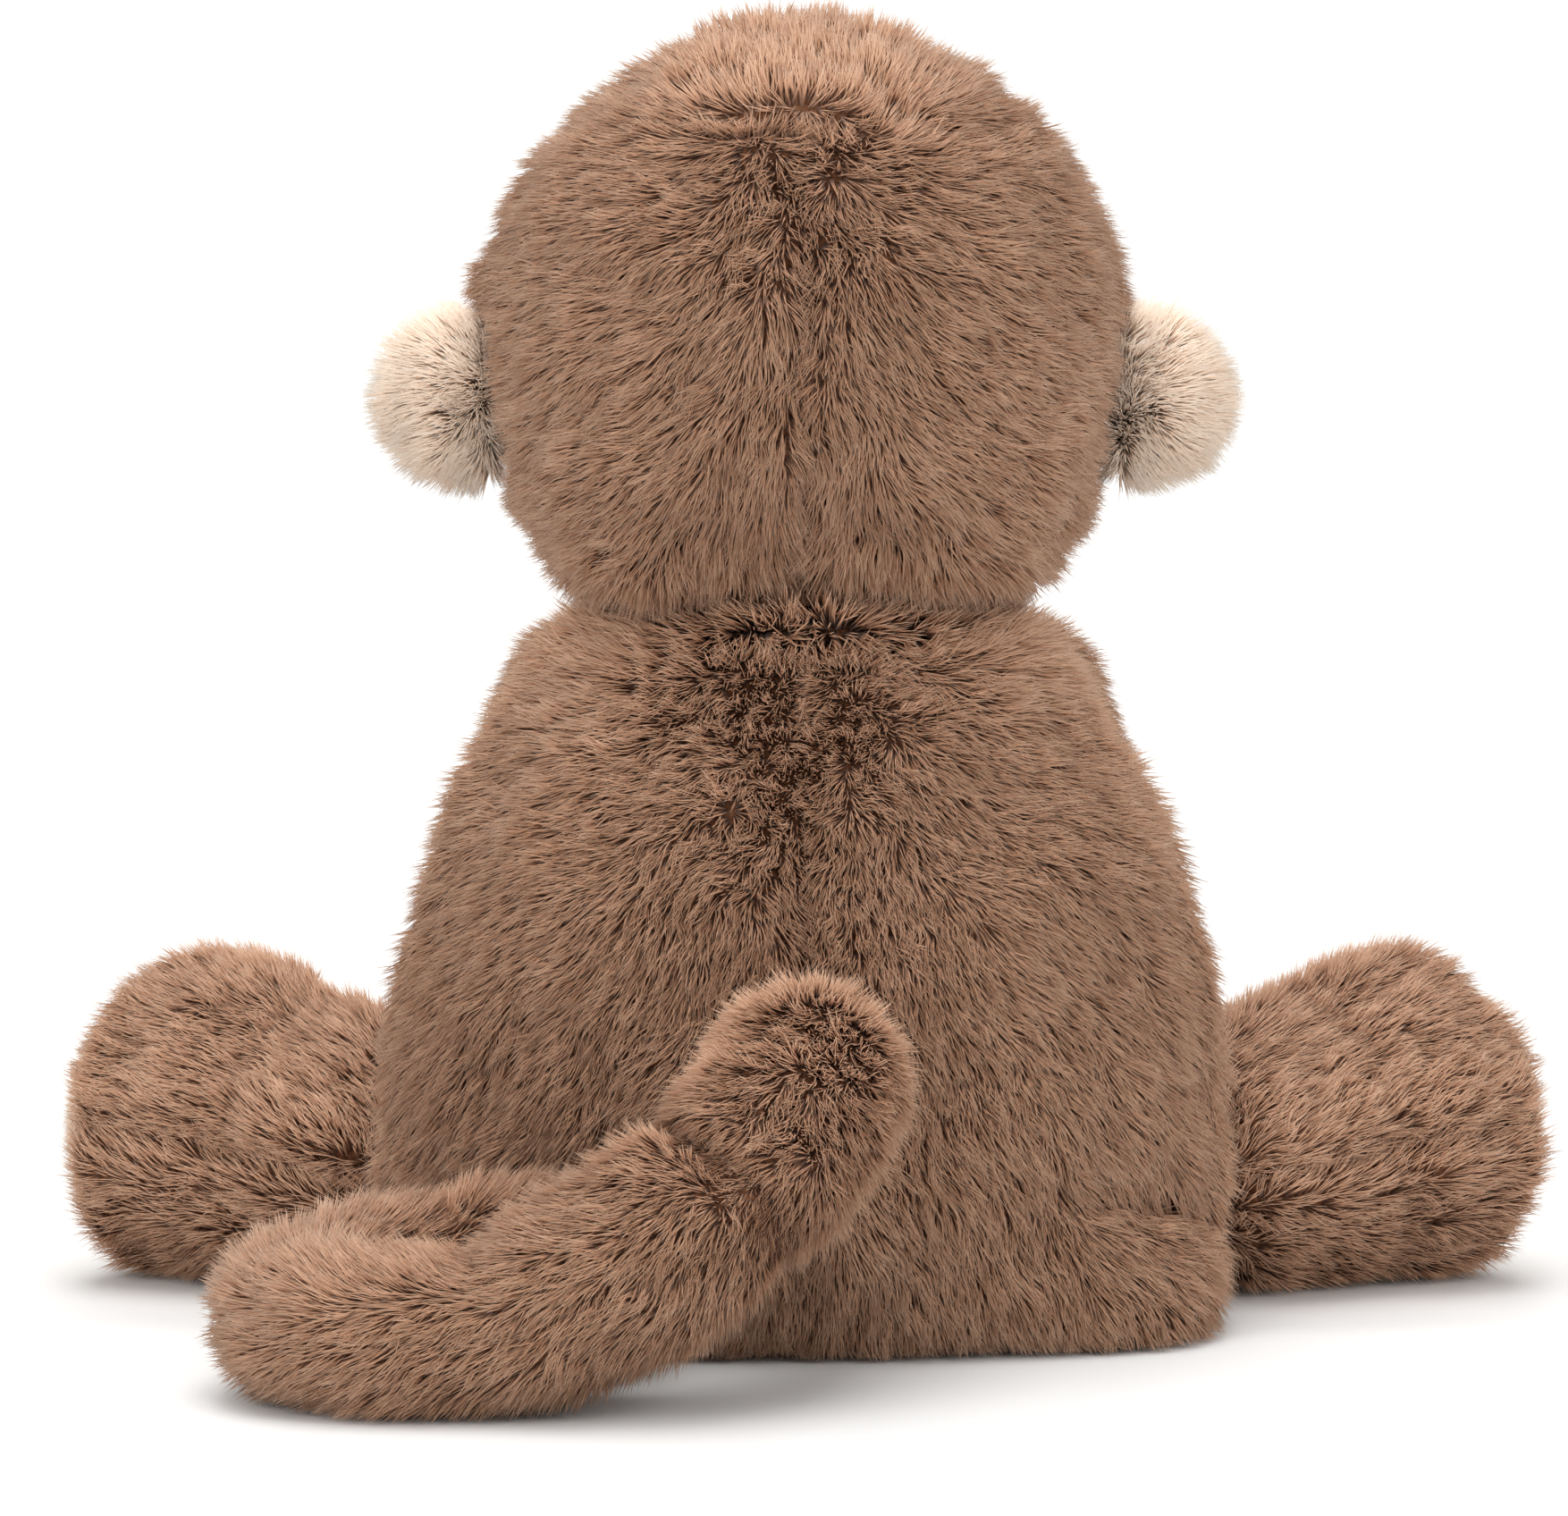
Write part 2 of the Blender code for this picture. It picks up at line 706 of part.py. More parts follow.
mouth_rows.append([mouth_line[-1] + (mouth_line[-1] - mouth_line[-2]).normalized() * thread])
solid("mouth_stitch", mouth_rows, material("mouth_thread", (0.10, 0.055, 0.035), 0.7), neck_pivot)

# ---- ears: a front and a back cloth each, sewn round the edge, standing off the head -----------


def ear_half(name, side, face_way, puff, finish_material):
    """side: +1 left, -1 right; face_way: +1 the back cloth, -1 the front cloth."""
    pivot = Vector((EAR_ROOT_X * side, EAR_Y, EAR_Z))
    count = 18
    inner_y = EAR_Y + face_way * SEAM
    domed = []
    flat = []
    for part in (0.0, 0.45, 0.8, 1.0):
        dome_row = []
        flat_row = []
        for i in range(count if part else 1):
            t = math.tau * i / count
            reach = EAR_RADIUS
            if math.cos(t) < 0:
                reach = min(reach, (EAR_MID_X - EAR_ROOT_X) / -math.cos(t))
            x = EAR_MID_X + reach * part * math.cos(t)
            z = EAR_Z + reach * part * math.sin(t)
            thick = EAR_EDGE + puff * (1 - part ** 2)
            root = min(1.0, (x - EAR_ROOT_X) / (8 * MM))
            thick = EAR_EDGE + (thick - EAR_EDGE) * (0.25 + 0.75 * root)
            dome_row.append(Vector((x * side, inner_y + face_way * thick, z)))
            flat_row.append(Vector((x * side, inner_y, z)))
        domed.append(dome_row)
        flat.append(flat_row)
    return solid(name, domed + flat[::-1], finish_material, pivot)


for side_name, side in (("left", 1), ("right", -1)):
    ear_half(
        "ear_" + side_name + "_back", side, 1, EAR_PUFF, material("plush_ear_back_" + side_name, PALE, 0.93)
    )
    ear_half(
        "ear_" + side_name + "_front", side, -1, EAR_PUFF * 0.7,
        material("plush_ear_front_" + side_name, PALE, 0.93),
    )

# ---- arms: outer and inner cloth over a stuffed roll -------------------------------------------
ARM_COLUMNS = 12
ARM_STEPS = 4
radii = [r * MM for r in ARM_RADIUS]
for side_name, side in (("left", 1), ("right", -1)):
    line = points(ARM_LINE, side)
    arm = Surface(sweep(line, radii, radii, ARM_STEPS, radii[0], radii[-1], ARM_COLUMNS, Vector((0, side, 0))))
    quarter = ARM_COLUMNS // 4
    panel(
        "arm_" + side_name + "_outer", arm, lambda j, i: quarter <= i < 3 * quarter,
        SKIN, material("plush_arm_outer_" + side_name, *cloth_brown), line[0],
    )
    panel(
        "arm_" + side_name + "_inner", arm, lambda j, i: not quarter <= i < 3 * quarter,
        SKIN, material("plush_arm_inner_" + side_name, *cloth_brown), line[0],
    )
    solid(
        "arm_" + side_name + "_stuffing", arm.inside(SKIN + GAP),
        material("fibre_arm_" + side_name, *stuffing_white), line[0],
    )

# ---- legs: upper cloth, under cloth, sole pad, stuffing ----------------------------------------
LEG_COLUMNS = 14
LEG_STEPS = 5
for side_name, side in (("left", 1), ("right", -1)):
    line = points(LEG_LINE, side)
    leg = Surface(
        sweep(
            line, [w * MM for w in LEG_WIDTH], [h * MM for h in LEG_HEIGHT], LEG_STEPS,
            LEG_CAPS[0] * MM, LEG_CAPS[1] * MM, LEG_COLUMNS, Vector((0, 0, 1)),
        )
    )
    sole_row = len(leg.rows) - 3
    half = LEG_COLUMNS // 2
    panel(
        "leg_" + side_name + "_upper", leg, lambda j, i: i < half and j < sole_row,
        SKIN, material("plush_leg_upper_" + side_name, *cloth_brown), line[0],
    )
    panel(
        "leg_" + side_name + "_under", leg, lambda j, i: i >= half and j < sole_row,
        SKIN, material("plush_leg_under_" + side_name, *cloth_brown), line[0],
    )
    panel(
        "leg_" + side_name + "_sole", leg, lambda j, i: j >= sole_row,
        SKIN, material("sole_pad_" + side_name, PALE, 0.9), line[0],
    )
    solid(
        "leg_" + side_name + "_stuffing", leg.inside(SKIN + GAP),
        material("fibre_leg_" + side_name, *stuffing_white), line[0],
    )

# ---- tail: three stuffed lengths, each with upper and lower cloth ------------------------------
TAIL_COLUMNS = 12
even = [TAIL_RADIUS, TAIL_RADIUS]
swell = [TAIL_ROOT_RADIUS, TAIL_ROOT_RADIUS, TAIL_ROOT_RADIUS, TAIL_RADIUS, TAIL_RADIUS]
for tail_name, tail_line, tail_radii, steps, start, end in (
    ("tail_root", TAIL_ROOT_LINE, swell, 4, TAIL_ROOT_RADIUS, "ball"),
    ("tail_middle", TAIL_MID_LINE, even, 10, "dish", "ball"),
    ("tail_end", TAIL_TIP_LINE, even, 1, "dish", TAIL_RADIUS),
):
    line = points(tail_line)
    lip_rows = (2, 3) if start == "dish" else ()
    tail = Surface(
        sweep(line, tail_radii, tail_radii, steps, start, end, TAIL_COLUMNS, Vector((0, 0, 1))), lip_rows
    )
    half = TAIL_COLUMNS // 2
    panel(
        tail_name + "_upper", tail, lambda j, i: i < half,
        SKIN, material("plush_" + tail_name + "_upper", *cloth_brown), line[0],
    )
    panel(
        tail_name + "_lower", tail, lambda j, i: i >= half,
        SKIN, material("plush_" + tail_name + "_lower", *cloth_brown), line[0],
    )
    core = tail.inside(SKIN + TAIL_SLACK)
    if lip_rows:
        del core[lip_rows[-1]]
    solid(
        tail_name + "_stuffing", core,
        material("fibre_" + tail_name, *stuffing_white), line[0],
    )
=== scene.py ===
"""Looks of the seated stuffed monkey: its plush panels, ears, bead eyes and stitched face.

The toy faces -Y, sits on Z = 0 and has its own left side at +X. Sections follow the order of sewing.
"""
import math
import bmesh
import bpy
import numpy as np
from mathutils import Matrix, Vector


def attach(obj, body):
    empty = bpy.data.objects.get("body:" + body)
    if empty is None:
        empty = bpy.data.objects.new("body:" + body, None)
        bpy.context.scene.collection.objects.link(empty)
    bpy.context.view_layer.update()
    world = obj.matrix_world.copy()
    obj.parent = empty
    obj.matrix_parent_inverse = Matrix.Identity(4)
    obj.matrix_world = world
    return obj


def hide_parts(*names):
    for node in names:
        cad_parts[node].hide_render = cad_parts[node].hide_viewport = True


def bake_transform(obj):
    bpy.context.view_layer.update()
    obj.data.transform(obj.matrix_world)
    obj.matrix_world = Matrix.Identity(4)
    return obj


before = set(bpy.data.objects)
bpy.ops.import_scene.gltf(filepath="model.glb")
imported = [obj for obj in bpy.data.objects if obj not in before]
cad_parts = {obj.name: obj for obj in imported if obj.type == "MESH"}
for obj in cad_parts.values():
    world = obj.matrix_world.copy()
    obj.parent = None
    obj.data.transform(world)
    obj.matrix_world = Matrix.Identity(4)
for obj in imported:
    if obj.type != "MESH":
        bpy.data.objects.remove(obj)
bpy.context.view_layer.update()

# ---- torso -----------------------------------------------------------------------------------------
# Two back panels, a belly panel and a base panel of long-pile plush, sewn inside out along the side
# seams and the middle of the back, turned and stuffed. The seams draw the cloth in, and the pile of
# each panel was cut lying down and outward.


class Wire:
    """A node socket that can stand in sums; each sum adds its own Math node."""

    def __init__(self, tree, socket=None):
        self.tree, self.socket = tree, socket

    def node(self, kind, values=None, out=0, stops=(), **settings):
        """A node of this kind: settings first, then sockets by name or number."""
        made = self.tree.nodes.new(kind)
        for name, value in settings.items():
            setattr(made, name, value)
        if stops:
            ramp = made.color_ramp
            while len(ramp.elements) < len(stops):
                ramp.elements.new(0.5)
            for element, (place, colour) in zip(ramp.elements, stops):
                element.position = place
                element.color = (*colour, 1.0)
        for key, value in (values or {}).items():
            if isinstance(value, Wire):
                self.tree.links.new(value.socket, made.inputs[key])
            else:
                made.inputs[key].default_value = value
        return Wire(self.tree, made.outputs[out] if made.outputs else None)

    def out(self, name):
        return Wire(self.tree, self.socket.node.outputs[name])

    def sum(self, operation, a, b):
        return self.node("ShaderNodeMath", {0: a, 1: b}, operation=operation)

    def blend(self, a, b):
        """Colour a where this is 0, b where it is 1."""
        return self.node("ShaderNodeMix", {0: self, 6: a, 7: b}, out=2, data_type="RGBA")


for sign, operation in (("add", "ADD"), ("sub", "SUBTRACT"), ("mul", "MULTIPLY"), ("truediv", "DIVIDE")):
    setattr(Wire, f"__{sign}__", lambda a, b, operation=operation: a.sum(operation, a, b))
    setattr(Wire, f"__r{sign}__", lambda a, b, operation=operation: a.sum(operation, b, a))


def start_material(name, roughness, sheen=0.0, specular=0.5):
    """An empty finish: its wire to build on, and its shader."""
    made = bpy.data.materials.new(name)
    made.use_nodes = True
    shader = made.node_tree.nodes["Principled BSDF"]
    shader.inputs["Roughness"].default_value = roughness
    shader.inputs["Sheen Weight"].default_value = sheen
    shader.inputs["Sheen Roughness"].default_value = 0.45
    shader.inputs["Specular IOR Level"].default_value = specular
    return made, Wire(made.node_tree), shader


def set_colour(wire, shader, colour):
    wire.tree.links.new(colour.socket, shader.inputs["Base Color"])


def set_bump(wire, shader, height, strength, distance):
    bump = wire.node("ShaderNodeBump", {"Strength": strength, "Distance": distance, "Height": height})
    wire.tree.links.new(bump.socket, shader.inputs["Normal"])


def fibre_finish(name, root, middle, tip, tuft_tone_and_painted_shade_range):
    """Pile fibre: dark at the root, where the dark is painted shade between the packed fibres, paler at the
    tip, and uneven from tuft to tuft.
    """
    made, wire, shader = start_material(name, 0.8, 0.06, 0.2)
    along = wire.node("ShaderNodeAttribute", out="Fac", attribute_name="along_fibre")
    tint = wire.node("ShaderNodeAttribute", out="Fac", attribute_name="tuft_tint_and_painted_shade")
    shade = wire.node(
        "ShaderNodeValToRGB", {0: along}, stops=((0.0, root), (0.40, middle), (0.66, middle), (1.0, tip))
    )
    where = wire.node("ShaderNodeTexCoord", out="Object")
    patch = wire.node("ShaderNodeTexNoise", {"Vector": where, "Scale": 26.0, "Detail": 2.0})
    # The tuft tint holds random tuft-to-tuft tone and each panel's tone. That tone is painted shade and painted
    # highlight, and it blends the fibre towards the darker or the lighter colour.
    mixed = [
        wire.node("ShaderNodeMix", {0: 0.42, 6: shade, 7: (*colour, 1)}, out=2, data_type="RGBA")
        for colour in tuft_tone_and_painted_shade_range
    ]
    set_colour(wire, shader, (patch * 0.35 + tint * 0.65).blend(*mixed))
    return made


def backing_finish(name, dark, light):
    """The knitted backing between the roots of the pile, seen only in shade and coloured darker than the pile
    as painted shade.
    """
    made, wire, shader = start_material(name, 0.95, 0.1, 0.1)
    where = wire.node("ShaderNodeTexCoord", out="Object")
    knit = wire.node("ShaderNodeTexNoise", {"Vector": where, "Scale": 900.0, "Detail": 3.0})
    set_colour(wire, shader, wire.node("ShaderNodeValToRGB", {0: knit}, stops=((0.35, dark), (0.7, light))))
    set_bump(wire, shader, knit, 0.7, 0.0006)
    return made


brown_fibre = fibre_finish(
    "brown_pile", (0.105, 0.026, 0.007), (0.41, 0.208, 0.114), (1.0, 0.69, 0.49),
    ((0.20, 0.078, 0.032), (0.92, 0.60, 0.42)),
)
brown_backing = backing_finish("brown_backing", (0.075, 0.025, 0.010), (0.19, 0.086, 0.044))


def pile_tree():
    """Fibres planted at random on the cloth, leaning the way it was combed and gathered in tufts."""
    tree = bpy.data.node_groups.new("plush_pile", "GeometryNodeTree")
    sockets = tree.interface
    sockets.new_socket("Cloth", in_out="INPUT", socket_type="NodeSocketGeometry")
    for name, value in (
        ("Fibres per square metre", 9.0e5), ("Fibre width", 0.00042), ("Lean", 0.9),
        ("Tuft size", 0.0032), ("Tufting", 0.95), ("Swirl size", 0.014), ("Swirl", 0.6),
        ("Rest height", 0.0005),
    ):
        made = sockets.new_socket(name, in_out="INPUT", socket_type="NodeSocketFloat")
        made.default_value = value
    sockets.new_socket("Seed", in_out="INPUT", socket_type="NodeSocketInt")
    sockets.new_socket("Fibre finish", in_out="INPUT", socket_type="NodeSocketMaterial")
    sockets.new_socket("Plush", in_out="OUTPUT", socket_type="NodeSocketGeometry")
    wire = Wire(tree)
    given = wire.node("NodeGroupInput", out="Cloth")
    get = given.out

    def vector_sum(operation, a, b):
        return wire.node("ShaderNodeVectorMath", {0: a, 1: b}, operation=operation)

    def scaled(a, by):
        return wire.node("ShaderNodeVectorMath", {0: a, "Scale": by}, operation="SCALE")

    def named(name, kind="FLOAT"):
        return wire.node("GeometryNodeInputNamedAttribute", {"Name": name}, data_type=kind)

    planted = wire.node(
        "GeometryNodeDistributePointsOnFaces",
        {"Mesh": given, "Density": named("cover") * get("Fibres per square metre"), "Seed": get("Seed")},
        out="Points", distribute_method="RANDOM",
    )
    place = wire.node("GeometryNodeInputPosition")

    def drift(size, offset):
        """A smooth wandering vector, -0.5 to 0.5."""
        moved = vector_sum("ADD", place, (offset, offset * 2, 0.0))
        noise = wire.node(
            "ShaderNodeTexNoise", {"Vector": moved, "Scale": 1.0 / size, "Detail": 1.0}, out="Color"
        )
        return vector_sum("SUBTRACT", noise, (0.5, 0.5, 0.5))

    comb = named("comb", "FLOAT_VECTOR")
    tuft = scaled(drift(get("Tuft size"), 3.0), get("Tufting"))
    swirl = scaled(drift(get("Swirl size"), 7.0), get("Swirl"))
    way = vector_sum("ADD", vector_sum("ADD", comb, scaled(tuft, 2.2)), scaled(swirl, 2.0))
    planted_way = wire.node(
        "FunctionNodeAxesToRotation",
        {"Primary Axis": planted.out("Normal"), "Secondary Axis": way},
        primary_axis="Z", secondary_axis="X",
    )

    def chance(low, high, seed):
        return wire.node("FunctionNodeRandomValue", {2: low, 3: high, "Seed": seed}, out=1, data_type="FLOAT")

    reach = wire.node("ShaderNodeVectorMath", {0: comb}, out="Value", operation="LENGTH")
    lift = wire.node(
        "ShaderNodeVectorMath", {0: tuft, 1: planted.out("Normal")}, out="Value", operation="DOT_PRODUCT"
    )
    lean = get("Lean") * reach + chance(-0.22, 0.22, 11) - lift * 1.6
    turned = wire.node("ShaderNodeCombineXYZ", {"Y": lean, "Z": chance(-0.3, 0.3, 12)})
    turn = wire.node("FunctionNodeEulerToRotation", {0: turned})
    aimed = wire.node(
        "FunctionNodeRotateRotation", {"Rotation": planted_way, "Rotate By": turn}, rotation_space="LOCAL"
    )

    fibre_length = 0.008
    spike = wire.node(
        "GeometryNodeMeshCone",
        {
            "Vertices": 3, "Side Segments": 1, "Fill Segments": 1, "Radius Top": 0.0,
            "Radius Bottom": get("Fibre width") * 0.5, "Depth": fibre_length,
        },
        fill_type="NGON",
    )
    corner = wire.node("ShaderNodeSeparateXYZ", {0: wire.node("GeometryNodeInputPosition")})
    part = corner.out("Z") / fibre_length
    shape = wire.node(
        "ShaderNodeCombineXYZ", {"X": corner.out("X"), "Y": corner.out("Y") * 1.5, "Z": corner.out("Z")}
    )
    marked = wire.node(
        "GeometryNodeStoreNamedAttribute",
        {"Geometry": spike, "Name": "along_fibre", "Value": part}, data_type="FLOAT", domain="POINT",
    )
    flattened = wire.node("GeometryNodeSetPosition", {"Geometry": marked, "Position": shape})

    tuft_tone = wire.node("ShaderNodeSeparateXYZ", {0: drift(get("Tuft size") * 1.4, 5.0)})
    tint = 0.5 + tuft_tone * 1.5 + chance(-0.28, 0.28, 13) + named("tone")
    toned = wire.node(
        "GeometryNodeStoreNamedAttribute",
        {"Geometry": planted, "Name": "tuft_tint_and_painted_shade", "Value": tint}, data_type="FLOAT", domain="POINT",
    )
    size = named("pile") / fibre_length * chance(0.72, 1.12, 14)
    set_in = wire.node(
        "GeometryNodeInstanceOnPoints",
        {"Points": toned, "Instance": flattened, "Rotation": aimed, "Scale": size},
    )
    grown = wire.node("GeometryNodeRealizeInstances", {0: set_in})
    spot = wire.node("ShaderNodeSeparateXYZ", {0: wire.node("GeometryNodeInputPosition")})
    floor_level = wire.node(
        "ShaderNodeCombineXYZ",
        {
            "X": spot.out("X"), "Y": spot.out("Y"),
            "Z": wire.sum("MAXIMUM", spot.out("Z"), get("Rest height")),
        },
    )
    grown = wire.node("GeometryNodeSetPosition", {"Geometry": grown, "Position": floor_level})
    grown = wire.node("GeometryNodeSetMaterial", {"Geometry": grown, "Material": get("Fibre finish")})
    both = tree.nodes.new("GeometryNodeJoinGeometry")
    tree.links.new(grown.socket, both.inputs[0])
    tree.links.new(given.socket, both.inputs[0])
    smooth = wire.node("GeometryNodeSetShadeSmooth", {"Geometry": Wire(tree, both.outputs[0])})
    for spent in ("comb", "pile", "cover", "tone"):
        smooth = wire.node("GeometryNodeRemoveAttribute", {"Geometry": smooth, "Name": spent})
    wire.node("NodeGroupOutput", {0: smooth})
    return tree


plush = pile_tree()
plush_socket = {item.name: item.identifier for item in plush.interface.items_tree}


def unit(v):
    return v / np.maximum(np.linalg.norm(v, axis=-1, keepdims=True), 1e-12)


def bell(value, middle, width):
    """A smooth hump, 1 at its middle and fading over this width."""
    return np.exp(-((value - middle) / width) ** 2)


def smooth_step(low, high, value):
    part = np.clip((value - low) / (high - low), 0.0, 1.0)
    return part * part * (3 - 2 * part)


def columns_of(grid):
    """The column number of every point of a grid."""
    return np.arange(grid.shape[1])[None, :] + 0 * np.arange(len(grid))[:, None]


def grid_normals(grid, closed=True):
    """Outward normals of a grid of points, rows by columns."""
    if closed:
        across = np.roll(grid, -1, 1) - np.roll(grid, 1, 1)
    else:
        across = np.gradient(grid, axis=1)
    down = np.gradient(grid, axis=0)
    found = unit(np.cross(across, down))
    middle = grid.mean(axis=1, keepdims=True)
    if (found * (grid - middle)).sum() < 0:
        found = -found
    weak = np.linalg.norm(np.cross(across, down), axis=-1) < 1e-14
    for row in (0, -1):
        if weak[row].any():
            found[row] = unit(found[1 if row == 0 else -2].mean(axis=0))
    return found


CAUGHT_IN_SEAM = 0.78
WELD = 1e-6


def place_new(name, verts, edges, faces):
    """A new object of this mesh, put in the scene."""
    mesh = bpy.data.meshes.new(name)
    mesh.from_pydata(verts, edges, faces)
    made = bpy.data.objects.new(name, mesh)
    bpy.context.scene.collection.objects.link(made)
    return made


def sewn_cloth(name, grid, keep, comb, pile, cover, tone, closed=True, thick=0.001, normals=None):
    """A panel of cloth from the kept cells of a grid, carrying its comb, pile length, cover and tone."""
    rows, columns = grid.shape[:2]
    if normals is None:
        normals = grid_normals(grid, closed)
    faces = []
    for j in range(rows - 1):
        for i in range(columns if closed else columns - 1):
            if keep[j, i]:
                k = (i + 1) % columns
                faces.append((j * columns + i, j * columns + k, (j + 1) * columns + k, (j + 1) * columns + i))
    flat = grid.reshape(-1, 3)
    one = flat[list(faces[len(faces) // 2])]
    facing = np.cross(one[1] - one[0], one[2] - one[0]) @ normals.reshape(-1, 3)[faces[len(faces) // 2][0]]
    if facing < 0:
        faces = [face[::-1] for face in faces]
    used = sorted({corner for face in faces for corner in face})
    new = {old: k for k, old in enumerate(used)}
    faces = [tuple(new[corner] for corner in face) for face in faces]
    count = len(used)
    outer = flat[used]
    inner = outer - normals.reshape(-1, 3)[used] * thick
    edges = {}
    for face in faces:
        for a, b in zip(face, face[1:] + face[:1]):
            edges[(a, b)] = edges.get((a, b), 0) + 1
    rim = [(a, b) for a, b in edges if (b, a) not in edges]
    walls = [(b, a, a + count, b + count) for a, b in rim]
    under = [tuple(corner + count for corner in face[::-1]) for face in faces]
    made = place_new(name, np.concatenate([outer, inner]).tolist(), [], faces + under + walls)
    edge_points = {a for a, b in rim} | {b for a, b in rim}

    def store(key, kind, values, inside):
        attribute = made.data.attributes.new(key, kind, "POINT")
        values = np.broadcast_to(values, (rows, columns) + np.shape(inside)).reshape(rows * columns, -1)[used]
        hidden = np.tile(np.reshape(inside, (1, -1)), (count, 1))
        both = np.concatenate([values, hidden]).astype(np.float32).ravel()
        attribute.data.foreach_set("vector" if kind == "FLOAT_VECTOR" else "value", both)

    drawn = np.ones(rows * columns)
    drawn[[used[p] for p in edge_points]] = CAUGHT_IN_SEAM
    store("comb", "FLOAT_VECTOR", comb, (0.0, 0.0, 0.0))
    store("pile", "FLOAT", np.broadcast_to(pile, (rows, columns)) * drawn.reshape(rows, columns), 0.0)
    store("cover", "FLOAT", cover, 0.0)
    store("tone", "FLOAT", tone, 0.0)
    merge = made.modifiers.new("close_poles", "WELD")
    merge.merge_threshold = WELD
    return made


def make_plain(piece):
    """Keep what the modifiers make as one plain mesh."""
    whole = bpy.data.meshes.new_from_object(piece.evaluated_get(bpy.context.evaluated_depsgraph_get()))
    piece.modifiers.clear()
    piece.data = whole
    whole.name = piece.name
    return whole


def grow_pile(cloth, backing, fibre, seed, **sizes):
    """Plant the pile and keep the result as one plain mesh."""
    cloth.data.materials.append(backing)
    cloth.data.materials.append(fibre)
    growth = cloth.modifiers.new("pile", "NODES")
    growth.node_group = plush
    growth[plush_socket["Seed"]] = seed
    growth[plush_socket["Fibre finish"]] = fibre
    for key, value in sizes.items():
        growth[plush_socket[key.replace("_", " ")]] = value
    make_plain(cloth)


def fasten(piece, body, *nodes, fill=0.7):
    """The piece rides on a body, or, when given two bodies to bend between, is only fixed in place; it stands
    for these parts of the frame.
    """
    if isinstance(body, str):
        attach(piece, body)
    else:
        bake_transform(piece)
    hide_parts(*nodes)


def plush_panel(piece, grid, keep, nap, seed, finishes, body, nodes, fill=0.7, cut=None, **sizes):
    """Cut, plant and fasten one panel; nap is its comb, pile length, cover and tone, cut its cloth."""
    cloth = sewn_cloth(piece, grid, keep, *nap, **(cut or {}))
    grow_pile(cloth, *finishes, seed, **sizes)
    fasten(cloth, body, *nodes, fill=fill)


def lumps(points, size, seed):
    """Uneven stuffing: a few crossing waves of about this size, roughly -1 to 1."""
    chance = np.random.default_rng(seed)
    total = 0.0
    for k in range(8):
        way = unit(chance.normal(size=3))
        wave = points @ way * math.tau / (size * chance.uniform(0.7, 1.5))
        total = total + np.sin(wave + chance.uniform(0, 6.3))
    return total / 4


BROWN = (brown_backing, brown_fibre)
PILE, INSET, FLOOR_GAP = 0.0066, 0.0006, 0.0002
TORSO_TOP, TORSO_RISE, HIP_Z, HIP_HALF, SEAT_ROUND, NECK_Y = 0.133, 0.103, 0.030, 0.074, 0.014, -0.004
NECK_HALF, SHOULDER_HALF, SHOULDER_DROP, BARREL = 0.0165, 0.0353, 0.0094, 2 / 2.2
BACK_DEPTH, BELLY_DEPTH, TORSO_COLUMNS = 0.66, 0.60, 96
levels = []  # half width, height, and how oval each ring is
for part in (0.0, 0.35, 0.7):
    wide = NECK_HALF + (SHOULDER_HALF - NECK_HALF) * part
    levels.append((wide, TORSO_TOP - SHOULDER_DROP * part ** 1.7, part))
for degrees in np.arange(26, 91, 3.2):
    a = math.radians(min(degrees, 90))
    levels.append((HIP_HALF * math.sin(a) ** BARREL, HIP_Z + TORSO_RISE * max(math.cos(a), 0) ** BARREL, 1.0))
for degrees in range(6, 91, 7):
    a = math.radians(degrees)
    levels.append((HIP_HALF - SEAT_ROUND * (1 - math.cos(a)), HIP_Z * (1 - math.sin(a)), 1.0))
seat_row = len(levels)
levels += [((HIP_HALF - SEAT_ROUND) * part, 0.0, 1.0) for part in (1.0, 0.8, 0.5, 0.2, 0.0)]
turn = np.linspace(0, math.tau, TORSO_COLUMNS, endpoint=False)[None, :]
half, height, oval = (np.array([level[k] for level in levels])[:, None] for k in range(3))
deep = np.where(np.cos(turn) > 0, BACK_DEPTH, BELLY_DEPTH) * oval + (1 - oval)
lean_back = NECK_Y * np.maximum(0.0, (height - HIP_Z) / (TORSO_TOP - HIP_Z))
torso = np.stack(
    np.broadcast_arrays(half * np.sin(turn), lean_back + half * deep * np.cos(turn), height), axis=-1
).copy()
torso_normal = grid_normals(torso)
torso_normal[seat_row + 1:] = (0, 0, -1)
x, y, z = np.moveaxis(torso, -1, 0)

# The cloth sinks at the seams, stands in a ridge beside them, wrinkles down the right side, and folds
# over itself where the right hip is sewn.
MIDDLE_SINK, SEAM_SINK, RIDGE, WRINKLE, LUMP, WAVE = 0.0016, 0.0026, 0.0026, 0.0019, 0.0011, 0.0012
HIP_LOBE, HIP_FOLD, SHOULDER_FULL, SIDE_REACH = 0.0105, 0.0042, 0.0022, 0.05
side_left, side_right = (
    np.minimum(np.abs(np.sin(turn / 2 + way * math.pi / 4)) * 2 * half, SIDE_REACH) for way in (-1, 1)
)
above_seat = smooth_step(0.004, 0.02, z) * smooth_step(0.132, 0.122, z)
swell = -MIDDLE_SINK * bell(x, 0, 0.004) * (y > 0) * above_seat
for along in (side_left, side_right):
    swell += (RIDGE * bell(along, 0.007, 0.0045) - SEAM_SINK * bell(along, 0, 0.0022)) * above_seat
swell += WRINKLE * np.cos(side_right / 0.0095 * math.tau) * np.exp(-side_right / 0.024) * above_seat
swell += LUMP * lumps(torso, 0.017, 3) * above_seat
from_hip = np.hypot(x + 0.064, y - 0.024)
hip_lobe = bell(from_hip, 0, 0.022) * bell(z, 0.006, 0.010)
